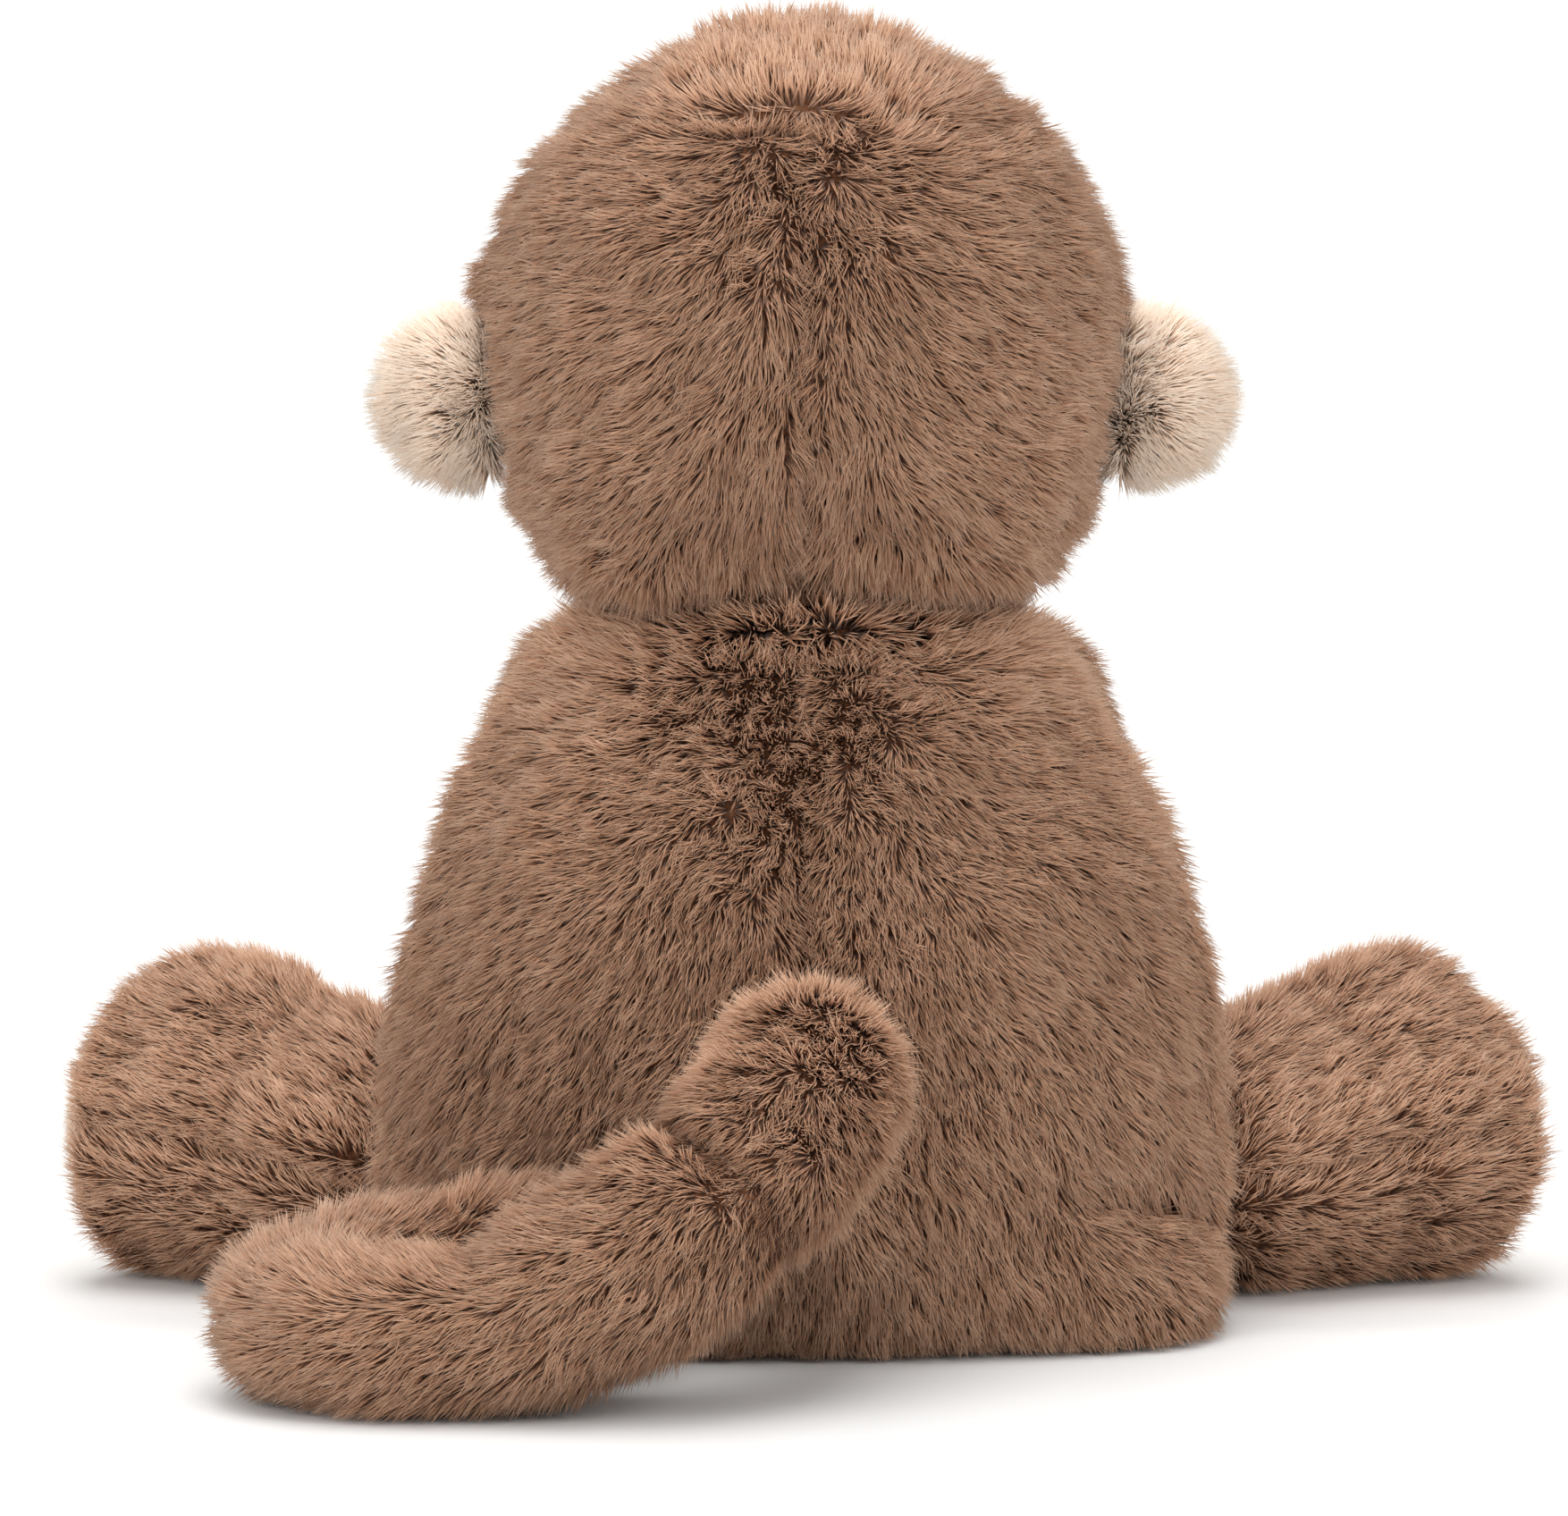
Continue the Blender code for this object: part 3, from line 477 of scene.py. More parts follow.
hip_fold = bell(from_hip, 0, 0.026) * bell(z - 0.025, 0.35 * (x + 0.062), 0.005)
swell += HIP_LOBE * hip_lobe - HIP_FOLD * hip_fold
shoulder = bell(z, 0.124, 0.010) * smooth_step(0.018, 0.034, np.abs(x))
swell += SHOULDER_FULL * shoulder
swell += WAVE * np.sin(x * 95 + z * 60) * np.sin(z * 110 - 0.6) * above_seat * (y > 0)
torso = torso + torso_normal * (swell - INSET)[..., None]
torso[..., 2] = np.where(z <= 1e-6, FLOOR_GAP, np.maximum(torso[..., 2], FLOOR_GAP))

# The pile lies down and outward, stands up round the neck, and is seen end on high on the back.
side = np.tanh(x / 0.012)
outward = smooth_step(0.008, 0.05, np.abs(x)) * smooth_step(0.05, 0.115, z)
comb = np.stack([side * (0.25 + 1.1 * outward), 0.1 * np.cos(turn) + 0 * x, -(1.0 - 0.75 * outward)], axis=-1)
end_on = bell(x, 0.002, 0.019) * bell(z, 0.104, 0.030) * (y > 0)
collar = bell(z, 0.130, 0.007)
comb = unit(comb) * (1.0 - 0.48 * end_on)[..., None] * (1.0 - 0.55 * collar)[..., None]
# Lighter along the ridges beside the side seams: painted highlight where the raised pile catches the light.
torso_tone = 0.16 * bell(side_left, 0.006, 0.006) + 0.20 * bell(side_right, 0.006, 0.006)
# Darker in the fold at the right hip: painted shade.
torso_tone = torso_tone - 0.20 * hip_fold
# Darker where the pile is seen end on high on the back and at the top of the torso under the head: painted
# shade.
torso_tone = torso_tone - 0.16 * end_on - 0.22 * smooth_step(0.118, 0.133, z) + 0.03
torso_pile = PILE + 0.0040 * np.maximum(shoulder, collar) - 0.0008 * end_on
torso_nap = (comb, torso_pile, (z > 0.0008) * (1.0 + 0.5 * end_on), torso_tone)
column = columns_of(torso)
quarter = TORSO_COLUMNS // 4
above = np.arange(len(levels))[:, None] + 0 * column < seat_row
for name, keep, density, seed in (
    ("back_left", above & (column < quarter), 3.0e6, 21),
    ("back_right", above & (column >= 3 * quarter), 3.0e6, 22),
    ("belly_panel", above & (column >= quarter) & (column < 3 * quarter), 2.0e6, 23),
    ("base_panel", ~above, 4.0e5, 24),
):
    plush_panel(
        name + "_plush", torso, keep, torso_nap, seed, BROWN, "torso",
        (name, "body_stuffing") if name == "belly_panel" else (name,),
        cut={"normals": torso_normal}, Fibres_per_square_metre=density,
    )

# ---- neck ------------------------------------------------------------------------------------------
# The head is ladder-stitched to the torso over a firm roll of fibre, and the pile of both closes over
# the join, so that only a dark crease shows; the ruff's pile is darkened there as painted shade.
ruff_turn = np.linspace(0, math.tau, 64, endpoint=False)[None, :]
ruff_z = np.linspace(0.1305, 0.1405, 5)[:, None]
ruff_r = 0.0205 - 0.0016 * np.cos((ruff_z - 0.1355) / 0.005 * math.pi / 2)
ruff = np.stack(
    np.broadcast_arrays(ruff_r * np.sin(ruff_turn), NECK_Y + ruff_r * np.cos(ruff_turn), ruff_z), axis=-1
)
# The ruff's tone of -0.3 darkens its pile: painted shade in the crease under the head.
plush_panel(
    "neck_ruff", ruff, np.ones((4, 64), bool), ((0.0, 0.0, -0.6), 0.006, 1.0, -0.3), 31, BROWN, "neck",
    ("neck_core",), Fibres_per_square_metre=2.0e6,
)

# ---- head ------------------------------------------------------------------------------------------
# A crown cap, two back halves meeting in a parting down the middle, and a paler face set in between
# them. The crown's pile was cut to sweep over the top, and the halves' pile fans down and out.
HEAD_MID_Z, HEAD_UP, HEAD_DOWN = 0.188, 0.048, 0.0505
HEAD_HALF, HEAD_BACK, HEAD_FRONT = 0.055, 0.048, 0.046
CROWN_POWER, CHIN_FULL, JAW_SQUARE = 1.1, 0.18, 0.50
HEAD_COLUMNS = 96
CROWN_SEAM, FACE_LOW = 50.0, 130.0


def head_at(turn, drop):
    """turn: from straight back round to the left; drop: down from the crown, both in radians."""
    low = drop > math.pi / 2
    filled_out = np.clip((drop - math.pi / 2) * 2, 0.0, 1.0)
    power = CROWN_POWER - (CHIN_FULL + JAW_SQUARE * np.abs(np.sin(turn))) * filled_out
    flat = np.abs(np.sin(drop)) ** power
    rise = np.sign(np.cos(drop)) * np.abs(np.cos(drop)) ** power
    depth = np.where(np.cos(turn) > 0, HEAD_BACK, HEAD_FRONT)
    return np.stack(
        np.broadcast_arrays(
            HEAD_HALF * flat * np.sin(turn),
            NECK_Y + depth * flat * np.cos(turn),
            HEAD_MID_Z + rise * np.where(low, HEAD_DOWN, HEAD_UP),
        ),
        axis=-1,
    )


head_turn = np.linspace(0, math.tau, HEAD_COLUMNS, endpoint=False)[None, :]
drops = np.concatenate([
    np.arange(0, CROWN_SEAM, 3.125), np.arange(CROWN_SEAM, FACE_LOW + 0.1, 3.2), [134, 139, 144, 148],
])
drop = np.radians(drops)[:, None]
head = head_at(head_turn, drop).copy()
NAPE_HALF = 0.016
under = np.stack(
    np.broadcast_arrays(
        NAPE_HALF * np.sin(head_turn), NECK_Y + NAPE_HALF * np.cos(head_turn),
        np.full((1, 1), HEAD_MID_Z - HEAD_DOWN),
    ),
    axis=-1,
)
between = head[-1:] * 0.5 + under * 0.5 + (0, 0, -0.001)
head = np.concatenate([head, between, under])
drops = np.concatenate([drops, [160, 175]])
head_normal = grid_normals(head)
x, y, z = np.moveaxis(head, -1, 0)
drop_deg = drops[:, None] + 0 * x

# The crown seam sinks in the middle, the right half is drawn in ripples round its edge, and the ears
# and jowls are taken in.
CROWN_SINK, CROWN_RIDGE, PARTING_SINK, RIPPLE, EAR_BUMP, HEAD_WAVE, HEAD_LUMP = (
    0.0018, 0.0008, 0.0010, 0.0007, 0.0028, 0.0008, 0.0012
)
JOWL_IN, JOWL_DOWN = 0.075, 0.0040
seam = bell(drop_deg, CROWN_SEAM, 2.2)
beside = bell(drop_deg - CROWN_SEAM, 5, 3.5) + bell(drop_deg - CROWN_SEAM, -5, 3.5)
parting = bell(x, 0, 0.003) * (y > 0) * (drop_deg > CROWN_SEAM)
middle_fold = bell(x, 0.004, 0.016) * (y > 0)
swell = -CROWN_SINK * seam * middle_fold + CROWN_RIDGE * beside * middle_fold - PARTING_SINK * parting
rippled = (x > 0.012) * (z > 0.170)
outline = (HEAD_HALF - np.hypot(x, (z - HEAD_MID_Z) * 1.1)) * rippled
swell += RIPPLE * np.cos(outline / 0.0078 * math.tau) * rippled * (y > -0.02) * np.exp(-np.abs(outline) / 0.02)
for bump_side, bump_z in ((1, 0.189), (-1, 0.187)):
    from_bump = np.hypot(x - bump_side * 0.0545, np.hypot(y + 0.004, z - bump_z))
    swell += EAR_BUMP * bell(from_bump, 0, 0.006)
swell += HEAD_WAVE * np.sin(x * 130 + 1.0) * np.sin(z * 120) * (y > 0)
jowl = bell(drop_deg, 143, 14) * smooth_step(0.45, 0.85, np.abs(np.sin(head_turn)))
swell += HEAD_LUMP * lumps(head, 0.015, 4) * (y > -0.02)
head = head + head_normal * (swell - INSET)[..., None]
head = head + np.stack([-JOWL_IN * x, 0 * x, np.full_like(x, -JOWL_DOWN)], axis=-1) * jowl[..., None]

# The pile fans down and out from the parting, sweeps over the crown, stands up under the nape, and is
# clipped behind the ears.
side = np.tanh(x / 0.012)
fan = smooth_step(0.002, 0.035, np.abs(x))
down = np.stack([side * (0.35 + 0.5 * fan), 0.0 * x, -1.0 + 0.45 * fan], axis=-1)
over = np.stack([0.55 * x / HEAD_HALF, -0.55 + 0.0 * x, 0.15 + 0.75 * smooth_step(-0.02, 0.03, y)], axis=-1)
swept = smooth_step(CROWN_SEAM + 3, CROWN_SEAM - 12, drop_deg + 6 * lumps(head, 0.022, 8))
swept = (swept * smooth_step(0.040, 0.010, np.abs(x)))[..., None]
nape = smooth_step(132, 146, drop_deg)
lifted = 1.0 - 0.25 * bell(x, 0, 0.010) * (drop_deg > CROWN_SEAM)
head_comb = unit(over * swept + (down + (0.0, -0.25, 0.1)) * (1 - swept)) * lifted[..., None]
head_comb = head_comb * (1.0 - 0.6 * nape)[..., None]
# Darker where the head faces up: painted shade that evens out the light from above. Darker in the sunk parting:
# painted shade.
head_tone = -0.03 - 0.12 * smooth_step(0.45, 0.95, head_normal[..., 2]) - 0.06 * parting
# Darker on the underside of the head towards the nape: painted shade under the head.
head_tone = head_tone - 0.22 * smooth_step(132, 152, drop_deg)
# Darker in the sunk middle of the crown seam: painted shade in the fold.
head_tone = head_tone - 0.22 * seam * middle_fold
by_ear = bell(y, -0.005, 0.010) * bell(z, 0.169, 0.017) * (np.abs(x) > 0.04)
head_pile = (PILE + 0.0022 * np.maximum(jowl, nape)) * (1 - 0.6 * by_ear)
column = columns_of(head)
over_face = (drop_deg >= CROWN_SEAM - 0.1) & (drop_deg < FACE_LOW - 1) & (column >= 32) & (column < 64)
on_crown = drop_deg < CROWN_SEAM - 0.1
for name, keep, density, seed in (
    ("head_crown", on_crown, 3.0e6, 41),
    ("head_back_left", ~on_crown & (column < 48) & ~over_face, 2.8e6, 42),
    ("head_back_right", ~on_crown & (column >= 48) & ~over_face, 2.8e6, 43),
):
    plush_panel(
        name + "_plush", head, keep, (head_comb, head_pile, 1.0, head_tone), seed, BROWN, "head",
        (name, "head_stuffing") if name == "head_crown" else (name,),
        cut={"normals": head_normal}, Fibres_per_square_metre=density,
    )

# ---- face ------------------------------------------------------------------------------------------
# The face is a paler, shorter plush, clipped close round the eyes and combed away from the muzzle.
pale_fibre = fibre_finish(
    "pale_pile", (0.80, 0.58, 0.43), (0.97, 0.76, 0.60), (1.0, 0.89, 0.77),
    ((0.86, 0.64, 0.48), (1.0, 0.91, 0.80)),
)
pale_backing = backing_finish("pale_backing", (0.76, 0.56, 0.42), (0.92, 0.73, 0.58))
PALE = (pale_backing, pale_fibre)
MUZZLE_SPREAD, MUZZLE_RISE, MUZZLE_DROP, MUZZLE_HEIGHT = 27.0, 21.0, 112.0, 0.011
muzzle_centre = head_at(np.array(math.pi), np.array(math.radians(MUZZLE_DROP)))
away = head - muzzle_centre
face_comb = unit(away) * 0.85
EYE_DROP, EYE_TURNS = 82.0, {"left": 165.0, "right": 195.0}
eye_spots = [head_at(np.radians(degrees), np.radians(EYE_DROP)) for degrees in EYE_TURNS.values()]
near_eye = np.minimum(*(np.linalg.norm(head - spot, axis=-1) for spot in eye_spots))
face_pile = 0.0028 + 0.0030 * smooth_step(0.006, 0.018, near_eye)
face_cover = (near_eye > 0.0042) * 1.0
off_muzzle = ((np.degrees(head_turn) - 180) / MUZZLE_SPREAD) ** 2
off_muzzle = off_muzzle + ((drop_deg - MUZZLE_DROP) / MUZZLE_RISE) ** 2
face_cover = face_cover * (off_muzzle > 0.8)
plush_panel(
    "face_plush", head, over_face, (face_comb, face_pile, face_cover, 0.0), 44, PALE, "head", ("face_panel",),
    cut={"normals": head_normal}, Fibres_per_square_metre=3.2e6, Fibre_width=0.00034, Tufting=0.5,
)

# ---- muzzle ----------------------------------------------------------------------------------------
# A domed oval of the same pale plush, clipped to a velvet and sewn on over a wad of fibre.
ring_part = np.linspace(0.0, 1.0, 15)[:, None] ** 0.8
ring_turn = np.linspace(0, math.tau, 56, endpoint=False)[None, :]


def muzzle_height(turn_deg, drop_deg):
    a = (turn_deg - 180) / MUZZLE_SPREAD
    b = (drop_deg - MUZZLE_DROP) / MUZZLE_RISE
    return 0.0010 + MUZZLE_HEIGHT * np.sqrt(np.maximum(0.0, 1 - a * a - b * b))


def on_face(turn_deg, drop_deg):
    """Point and outward way on the bare face."""
    turn_rad, drop_rad, step = np.radians(turn_deg), np.radians(drop_deg), 0.01
    across = head_at(turn_rad + step, drop_rad) - head_at(turn_rad - step, drop_rad)
    downward = head_at(turn_rad, drop_rad + step) - head_at(turn_rad, drop_rad - step)
    return head_at(turn_rad, drop_rad), unit(np.cross(across, downward))


def face_dome(turn_mid, drop_mid, turn_reach, drop_reach, over, under_depth):
    turn_deg = turn_mid + turn_reach * ring_part * np.cos(ring_turn)
    drop_deg = drop_mid + drop_reach * ring_part * np.sin(ring_turn)
    spot, out = on_face(turn_deg, drop_deg)
    top = spot + out * over(turn_deg, drop_deg, ring_part)[..., None]
    low = spot + out * under_depth(turn_deg, drop_deg)[..., None]
    return np.concatenate([top, low[::-1]])


muzzle = face_dome(
    180, MUZZLE_DROP, MUZZLE_SPREAD, MUZZLE_RISE,
    lambda t, d, part: muzzle_height(t, d) - 0.0004, lambda t, d: 0.0002 + 0 * t,
)
muzzle_comb = unit(muzzle - muzzle_centre - (0, 0.003, 0)) * 0.9
dome = np.broadcast_to(np.arange(len(muzzle))[:, None] < len(ring_part) - 1, muzzle.shape[:2])
plush_panel(
    "muzzle_plush", muzzle, dome, (muzzle_comb, 0.0030, 1.0, 0.12), 45, PALE, "head", ("muzzle",), fill=0.85,
    Fibres_per_square_metre=6.0e6, Fibre_width=0.00028, Tufting=0.3, Swirl=0.2,
)

# ---- eyes ------------------------------------------------------------------------------------------
# Moulded beads with a stem pushed through the face and a washer pressed on behind. The brown iris is
# moulded under the clear front, round a black pupil.
bead, wire, shader = start_material("eye_bead", 0.06, 0.0, 0.6)
shader.inputs["Coat Weight"].default_value = 1.0
shader.inputs["Coat Roughness"].default_value = 0.03
facing = wire.node("ShaderNodeAttribute", out="Fac", attribute_name="from_pupil")
set_colour(wire, shader, wire.node(
    "ShaderNodeValToRGB", {0: facing},
    stops=((0.0, (0.006, 0.005, 0.005)), (0.44, (0.006, 0.005, 0.005)), (0.50, (0.10, 0.040, 0.015)),
           (0.78, (0.045, 0.018, 0.008)), (0.86, (0.008, 0.006, 0.006)), (1.0, (0.008, 0.006, 0.006))),
))


def turned_piece(name, spot, axis, profile, count, finish):
    """A moulded round piece, turned about its own axis from a profile of (along, radius, mark)."""
    side_way = unit(np.cross(axis, (0.0, 0.0, 1.0)))
    up_way = np.cross(axis, side_way)
    angle = np.linspace(0, math.tau, count, endpoint=False)
    verts, faces, marks = [], [], []
    for along, radius, mark in profile:
        for a in angle:
            verts.append(spot + axis * along + (side_way * math.cos(a) + up_way * math.sin(a)) * radius)
            marks.append(mark)
    for j in range(len(profile) - 1):
        for i in range(count):
            k = (i + 1) % count
            faces.append((j * count + i, j * count + k, (j + 1) * count + k, (j + 1) * count + i))
    made = place_new(name, [tuple(v) for v in verts], [], faces)
    mark = made.data.attributes.new("from_pupil", "FLOAT", "POINT")
    mark.data.foreach_set("value", np.array(marks, np.float32))
    made.data.materials.append(finish)
    weld = made.modifiers.new("close", "WELD")
    weld.merge_threshold = WELD
    whole = make_plain(made)
    turned = bmesh.new()
    turned.from_mesh(whole)
    bmesh.ops.recalc_face_normals(turned, faces=turned.faces)
    turned.to_mesh(whole)
    turned.free()
    for face in whole.polygons:
        face.use_smooth = True
    return made


def set_hard(piece, node):
    """A hard piece of the face: rides on the head and stands for this part of the frame."""
    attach(piece, "head")
    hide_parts(node)


EYE_RADIUS, EYE_DOME = 0.0046, 0.0037
EYE_STEM = ((-0.0066, 0.0), (-0.0066, 0.0013), (-0.006, 0.0015), (0.0002, 0.0015), (0.0003, 0.0038))
for name, degrees in EYE_TURNS.items():
    spot, out = on_face(np.array(degrees), np.array(EYE_DROP))
    profile = [(along, radius, 1.0) for along, radius in EYE_STEM]
    for a in np.radians(np.linspace(-10, 90, 15)):
        radius = EYE_RADIUS * math.cos(a) if a < 1.57 else 0.0
        profile.append((0.0015 + EYE_DOME * math.sin(a), radius, math.cos(a)))
    eye = turned_piece("eye_bead_" + name, spot, out, profile, 40, bead)
    set_hard(eye, "eye_" + name)

# ---- nose and mouth --------------------------------------------------------------------------------
# Both are sewn in dark brown embroidery thread: the nose is a pad filled with upright satin stitches,
# the mouth one couched two-ply cord.
thread_finish, wire, shader = start_material("dark_thread", 0.5, 0.25, 0.45)
where = wire.node("ShaderNodeTexCoord", out="Object")
strand = wire.node(
    "ShaderNodeTexWave", {"Vector": where, "Scale": 900.0, "Distortion": 1.5, "Detail": 1.0},
    out="Fac", bands_direction="DIAGONAL",
)
set_colour(wire, shader, strand.blend((0.045, 0.022, 0.014, 1), (0.15, 0.085, 0.055, 1)))
set_bump(wire, shader, strand, 0.5, 0.0002)


def stitch_tree():
    """A round thread laid along each given line."""
    tree = bpy.data.node_groups.new("sewn_thread", "GeometryNodeTree")
    tree.interface.new_socket("Lines", in_out="INPUT", socket_type="NodeSocketGeometry")
    tree.interface.new_socket("Thread width", in_out="INPUT", socket_type="NodeSocketFloat")
    tree.interface.new_socket("Thread finish", in_out="INPUT", socket_type="NodeSocketMaterial")
    tree.interface.new_socket("Thread", in_out="OUTPUT", socket_type="NodeSocketGeometry")
    wire = Wire(tree)
    given = wire.node("NodeGroupInput", out="Lines")
    line = wire.node("GeometryNodeMeshToCurve", {0: given})
    round_wire = wire.node(
        "GeometryNodeCurvePrimitiveCircle", {"Resolution": 8, "Radius": given.out("Thread width") * 0.5}
    )
    laid = wire.node(
        "GeometryNodeCurveToMesh", {"Curve": line, "Profile Curve": round_wire, "Fill Caps": True}
    )
    whole = wire.node("GeometryNodeRealizeInstances", {0: laid})
    painted = wire.node("GeometryNodeSetMaterial", {"Geometry": whole, "Material": given.out("Thread finish")})
    smooth = wire.node("GeometryNodeSetShadeSmooth", {"Geometry": painted})
    wire.node("NodeGroupOutput", {0: smooth})
    return tree


sewn_thread = stitch_tree()
thread_socket = {item.name: item.identifier for item in sewn_thread.interface.items_tree}


def lay_threads(name, lines, width, finish):
    verts, edges = [], []
    for line in lines:
        first = len(verts)
        verts += [tuple(p) for p in line]
        edges += [(first + k, first + k + 1) for k in range(len(line) - 1)]
    made = place_new(name, verts, edges, [])
    made.data.materials.append(finish)
    laying = made.modifiers.new("thread", "NODES")
    laying.node_group = sewn_thread
    laying[thread_socket["Thread width"]] = width
    laying[thread_socket["Thread finish"]] = finish
    make_plain(made)
    return made


NOSE_DROP, NOSE_WIDE, NOSE_TALL = 103.0, 8.5, 4.4
nose_lines = []
for k in range(19):
    a = -0.96 + 1.92 * k / 18
    tall = math.sqrt(1 - a * a) * (1.0 - 0.18 * abs(a))
    line = []
    for s in np.linspace(-1, 1, 9):
        turn_deg, d = 180 + NOSE_WIDE * a, NOSE_DROP + NOSE_TALL * tall * s
        spot, out = on_face(np.array(turn_deg), np.array(d))
        pad = 0.0022 * math.sqrt(max(0.0, 1 - (a * a + (tall * s) ** 2) * 0.98))
        line.append(spot + out * (float(muzzle_height(turn_deg, d)) + 0.0004 + pad))
    nose_lines.append(line)
nose = lay_threads("nose_stitches", nose_lines, 0.00105, thread_finish)
set_hard(nose, "nose")
mouth_lines = [[], []]
for k in range(121):
    across = -1 + 2 * k / 120
    turn_deg, d = 180 + across * 12, 120.5 - 4.0 * across * across
    spot, out = on_face(np.array(turn_deg), np.array(d))
    twist = k / 120 * 15 * math.tau
    for ply in (0, 1):
        a = twist + ply * math.pi
        offset = out * math.cos(a) * 0.00038 + np.array((0, 0, 1)) * math.sin(a) * 0.00038
        mouth_lines[ply].append(spot + out * (float(muzzle_height(turn_deg, d)) + 0.0013) + offset)
mouth = lay_threads("mouth_cord", mouth_lines, 0.0008, thread_finish)
set_hard(mouth, "mouth_stitch")

# ---- ears ------------------------------------------------------------------------------------------
# Each ear is two half-round cloths of the longest, palest pile, sewn round the edge, turned, and
# caught into the side seam of the head along its straight side.
EAR_ROOT_X, EAR_MID_X, EAR_Y, EAR_Z, EAR_RADIUS = 0.0566, 0.061, -0.005, 0.169, 0.014
EAR_EDGE, EAR_PUFF, FRONT_PUFF, EAR_PILE = 0.0012, 0.0042, 0.7, 0.0074
ear_part = np.linspace(0, 1, 9)[:, None] ** 0.85
ear_turn = np.linspace(0, math.tau, 48, endpoint=False)[None, :]
straight = (EAR_MID_X - EAR_ROOT_X) / np.maximum(-np.cos(ear_turn), 1e-6)
reach = np.where(np.cos(ear_turn) < -1e-6, np.minimum(EAR_RADIUS, straight), EAR_RADIUS)
ex = EAR_MID_X + reach * ear_part * np.cos(ear_turn)
ez = EAR_Z + reach * ear_part * np.sin(ear_turn)
root = np.minimum(1.0, (ex - EAR_ROOT_X) / 0.008)
for name, side, seed in (("left", 1, 51), ("right", -1, 53)):
    for cloth_name, way in (("back", 1), ("front", -1)):
        puff = EAR_PUFF * (1.0 if way > 0 else FRONT_PUFF)
        thick = EAR_EDGE * (1 - ear_part ** 6) + puff * (1 - ear_part ** 2) * (0.25 + 0.75 * root)
        grid = np.stack([ex * side, EAR_Y + way * thick + 0 * ex, ez], axis=-1)
        out = unit(np.stack([
            (ex - EAR_MID_X) * side * 0.5, way * (0.022 - 0.016 * ear_part) + 0 * ex, (ez - EAR_Z) * 0.5,
        ], axis=-1))
        spread = unit(np.stack([
            (ex - EAR_ROOT_X + 0.020) * side, -way * 0.016 * ear_part ** 4 + 0 * ex, (ez - EAR_Z) * 1.1 - 0.003,
        ], axis=-1)) * 0.72
        # The tone lightens the pile towards the root: painted light against the shade beside the head.
        nap = (
            spread, EAR_PILE + 0 * ex, 1.0 + 0.8 * smooth_step(0.066, 0.058, ex),
            0.02 + 0.25 * smooth_step(0.068, 0.058, ex),
        )
        plush_panel(
            f"ear_{name}_{cloth_name}_plush", grid, np.ones(grid.shape[:2], bool), nap, seed + (way < 0), PALE,
            "ear_" + name, (f"ear_{name}_{cloth_name}",), fill=0.3, cut={"thick": 0.0004, "normals": out},
            Fibres_per_square_metre=7.0e6, Fibre_width=0.00034, Tufting=0.8, Tuft_size=0.005, Lean=0.95,
            Swirl=0.6,
        )

# ---- arms ------------------------------------------------------------------------------------------
# Each arm is a stuffed roll of an outer and an inner cloth, closed at the paw, and sewn on at the
# shoulder, where the cloth folds when the arm swings.


def line_point(line, t):
    """A smooth line through the given points, at t from 0 to 1."""
    spans = len(line) - 1
    k = min(int(t * spans), spans - 1)
    u = t * spans - k
    p1, p2 = line[k], line[k + 1]
    p0 = line[k - 1] if k else p1 * 2 - p2
    p3 = line[k + 2] if k + 2 <= spans else p2 * 2 - p1
    return 0.5 * (
        p1 * 2 + (p2 - p0) * u + (p0 * 2 - p1 * 5 + p2 * 4 - p3) * u ** 2
        + (p1 * 3 - p0 - p2 * 3 + p3) * u ** 3
    )


def line_way(line, t):
    return unit(line_point(line, min(t + 0.01, 1)) - line_point(line, max(t - 0.01, 0)))


def value_at(values, t):
    spans = len(values) - 1
    k = min(int(t * spans), spans - 1)
    u = t * spans - k
    u = u * u * (3 - 2 * u)
    return values[k] + (values[k + 1] - values[k]) * u


def stuffed_roll(line, widths, heights, steps, start, end, columns, upright):
    """Rows of a stuffed tube with domed ends, the way it runs at each row, and the length from its root."""
    rows, ways, lengths = [], [], []
    angle = np.linspace(0, math.tau, columns, endpoint=False)
    run = 0.0
    last = None

    def add(centre, way, width, tall):
        side_way = unit(np.cross(upright, way))
        up_way = np.cross(way, side_way)
        rows.append(
            centre + np.cos(angle)[:, None] * side_way * width + np.sin(angle)[:, None] * up_way * tall
        )
        ways.append(np.broadcast_to(way, (columns, 3)))

    spots = []
    for degrees in (0, 12, 26, 42, 58, 74):
        a = math.radians(degrees)
        way = line_way(line, 0)
        spots.append(line_point(line, 0) - way * start * math.cos(a))
        add(spots[-1], way, widths[0] * math.sin(a), heights[0] * math.sin(a))
    for t in np.linspace(0, 1, steps + 1):
        spots.append(line_point(line, t))
        add(spots[-1], line_way(line, t), value_at(widths, t), value_at(heights, t))
    for degrees in (74, 58, 42, 26, 12, 0):
        a = math.radians(degrees)
        way = line_way(line, 1)
        spots.append(line_point(line, 1) + way * end * math.cos(a))
        add(spots[-1], way, widths[-1] * math.sin(a), heights[-1] * math.sin(a))
    for spot in spots:
        run += 0.0 if last is None else float(np.linalg.norm(spot - last))
        last = spot
        lengths.append(run)
    return np.array(rows), np.array(ways), np.array(lengths)[:, None] + np.zeros((1, columns))


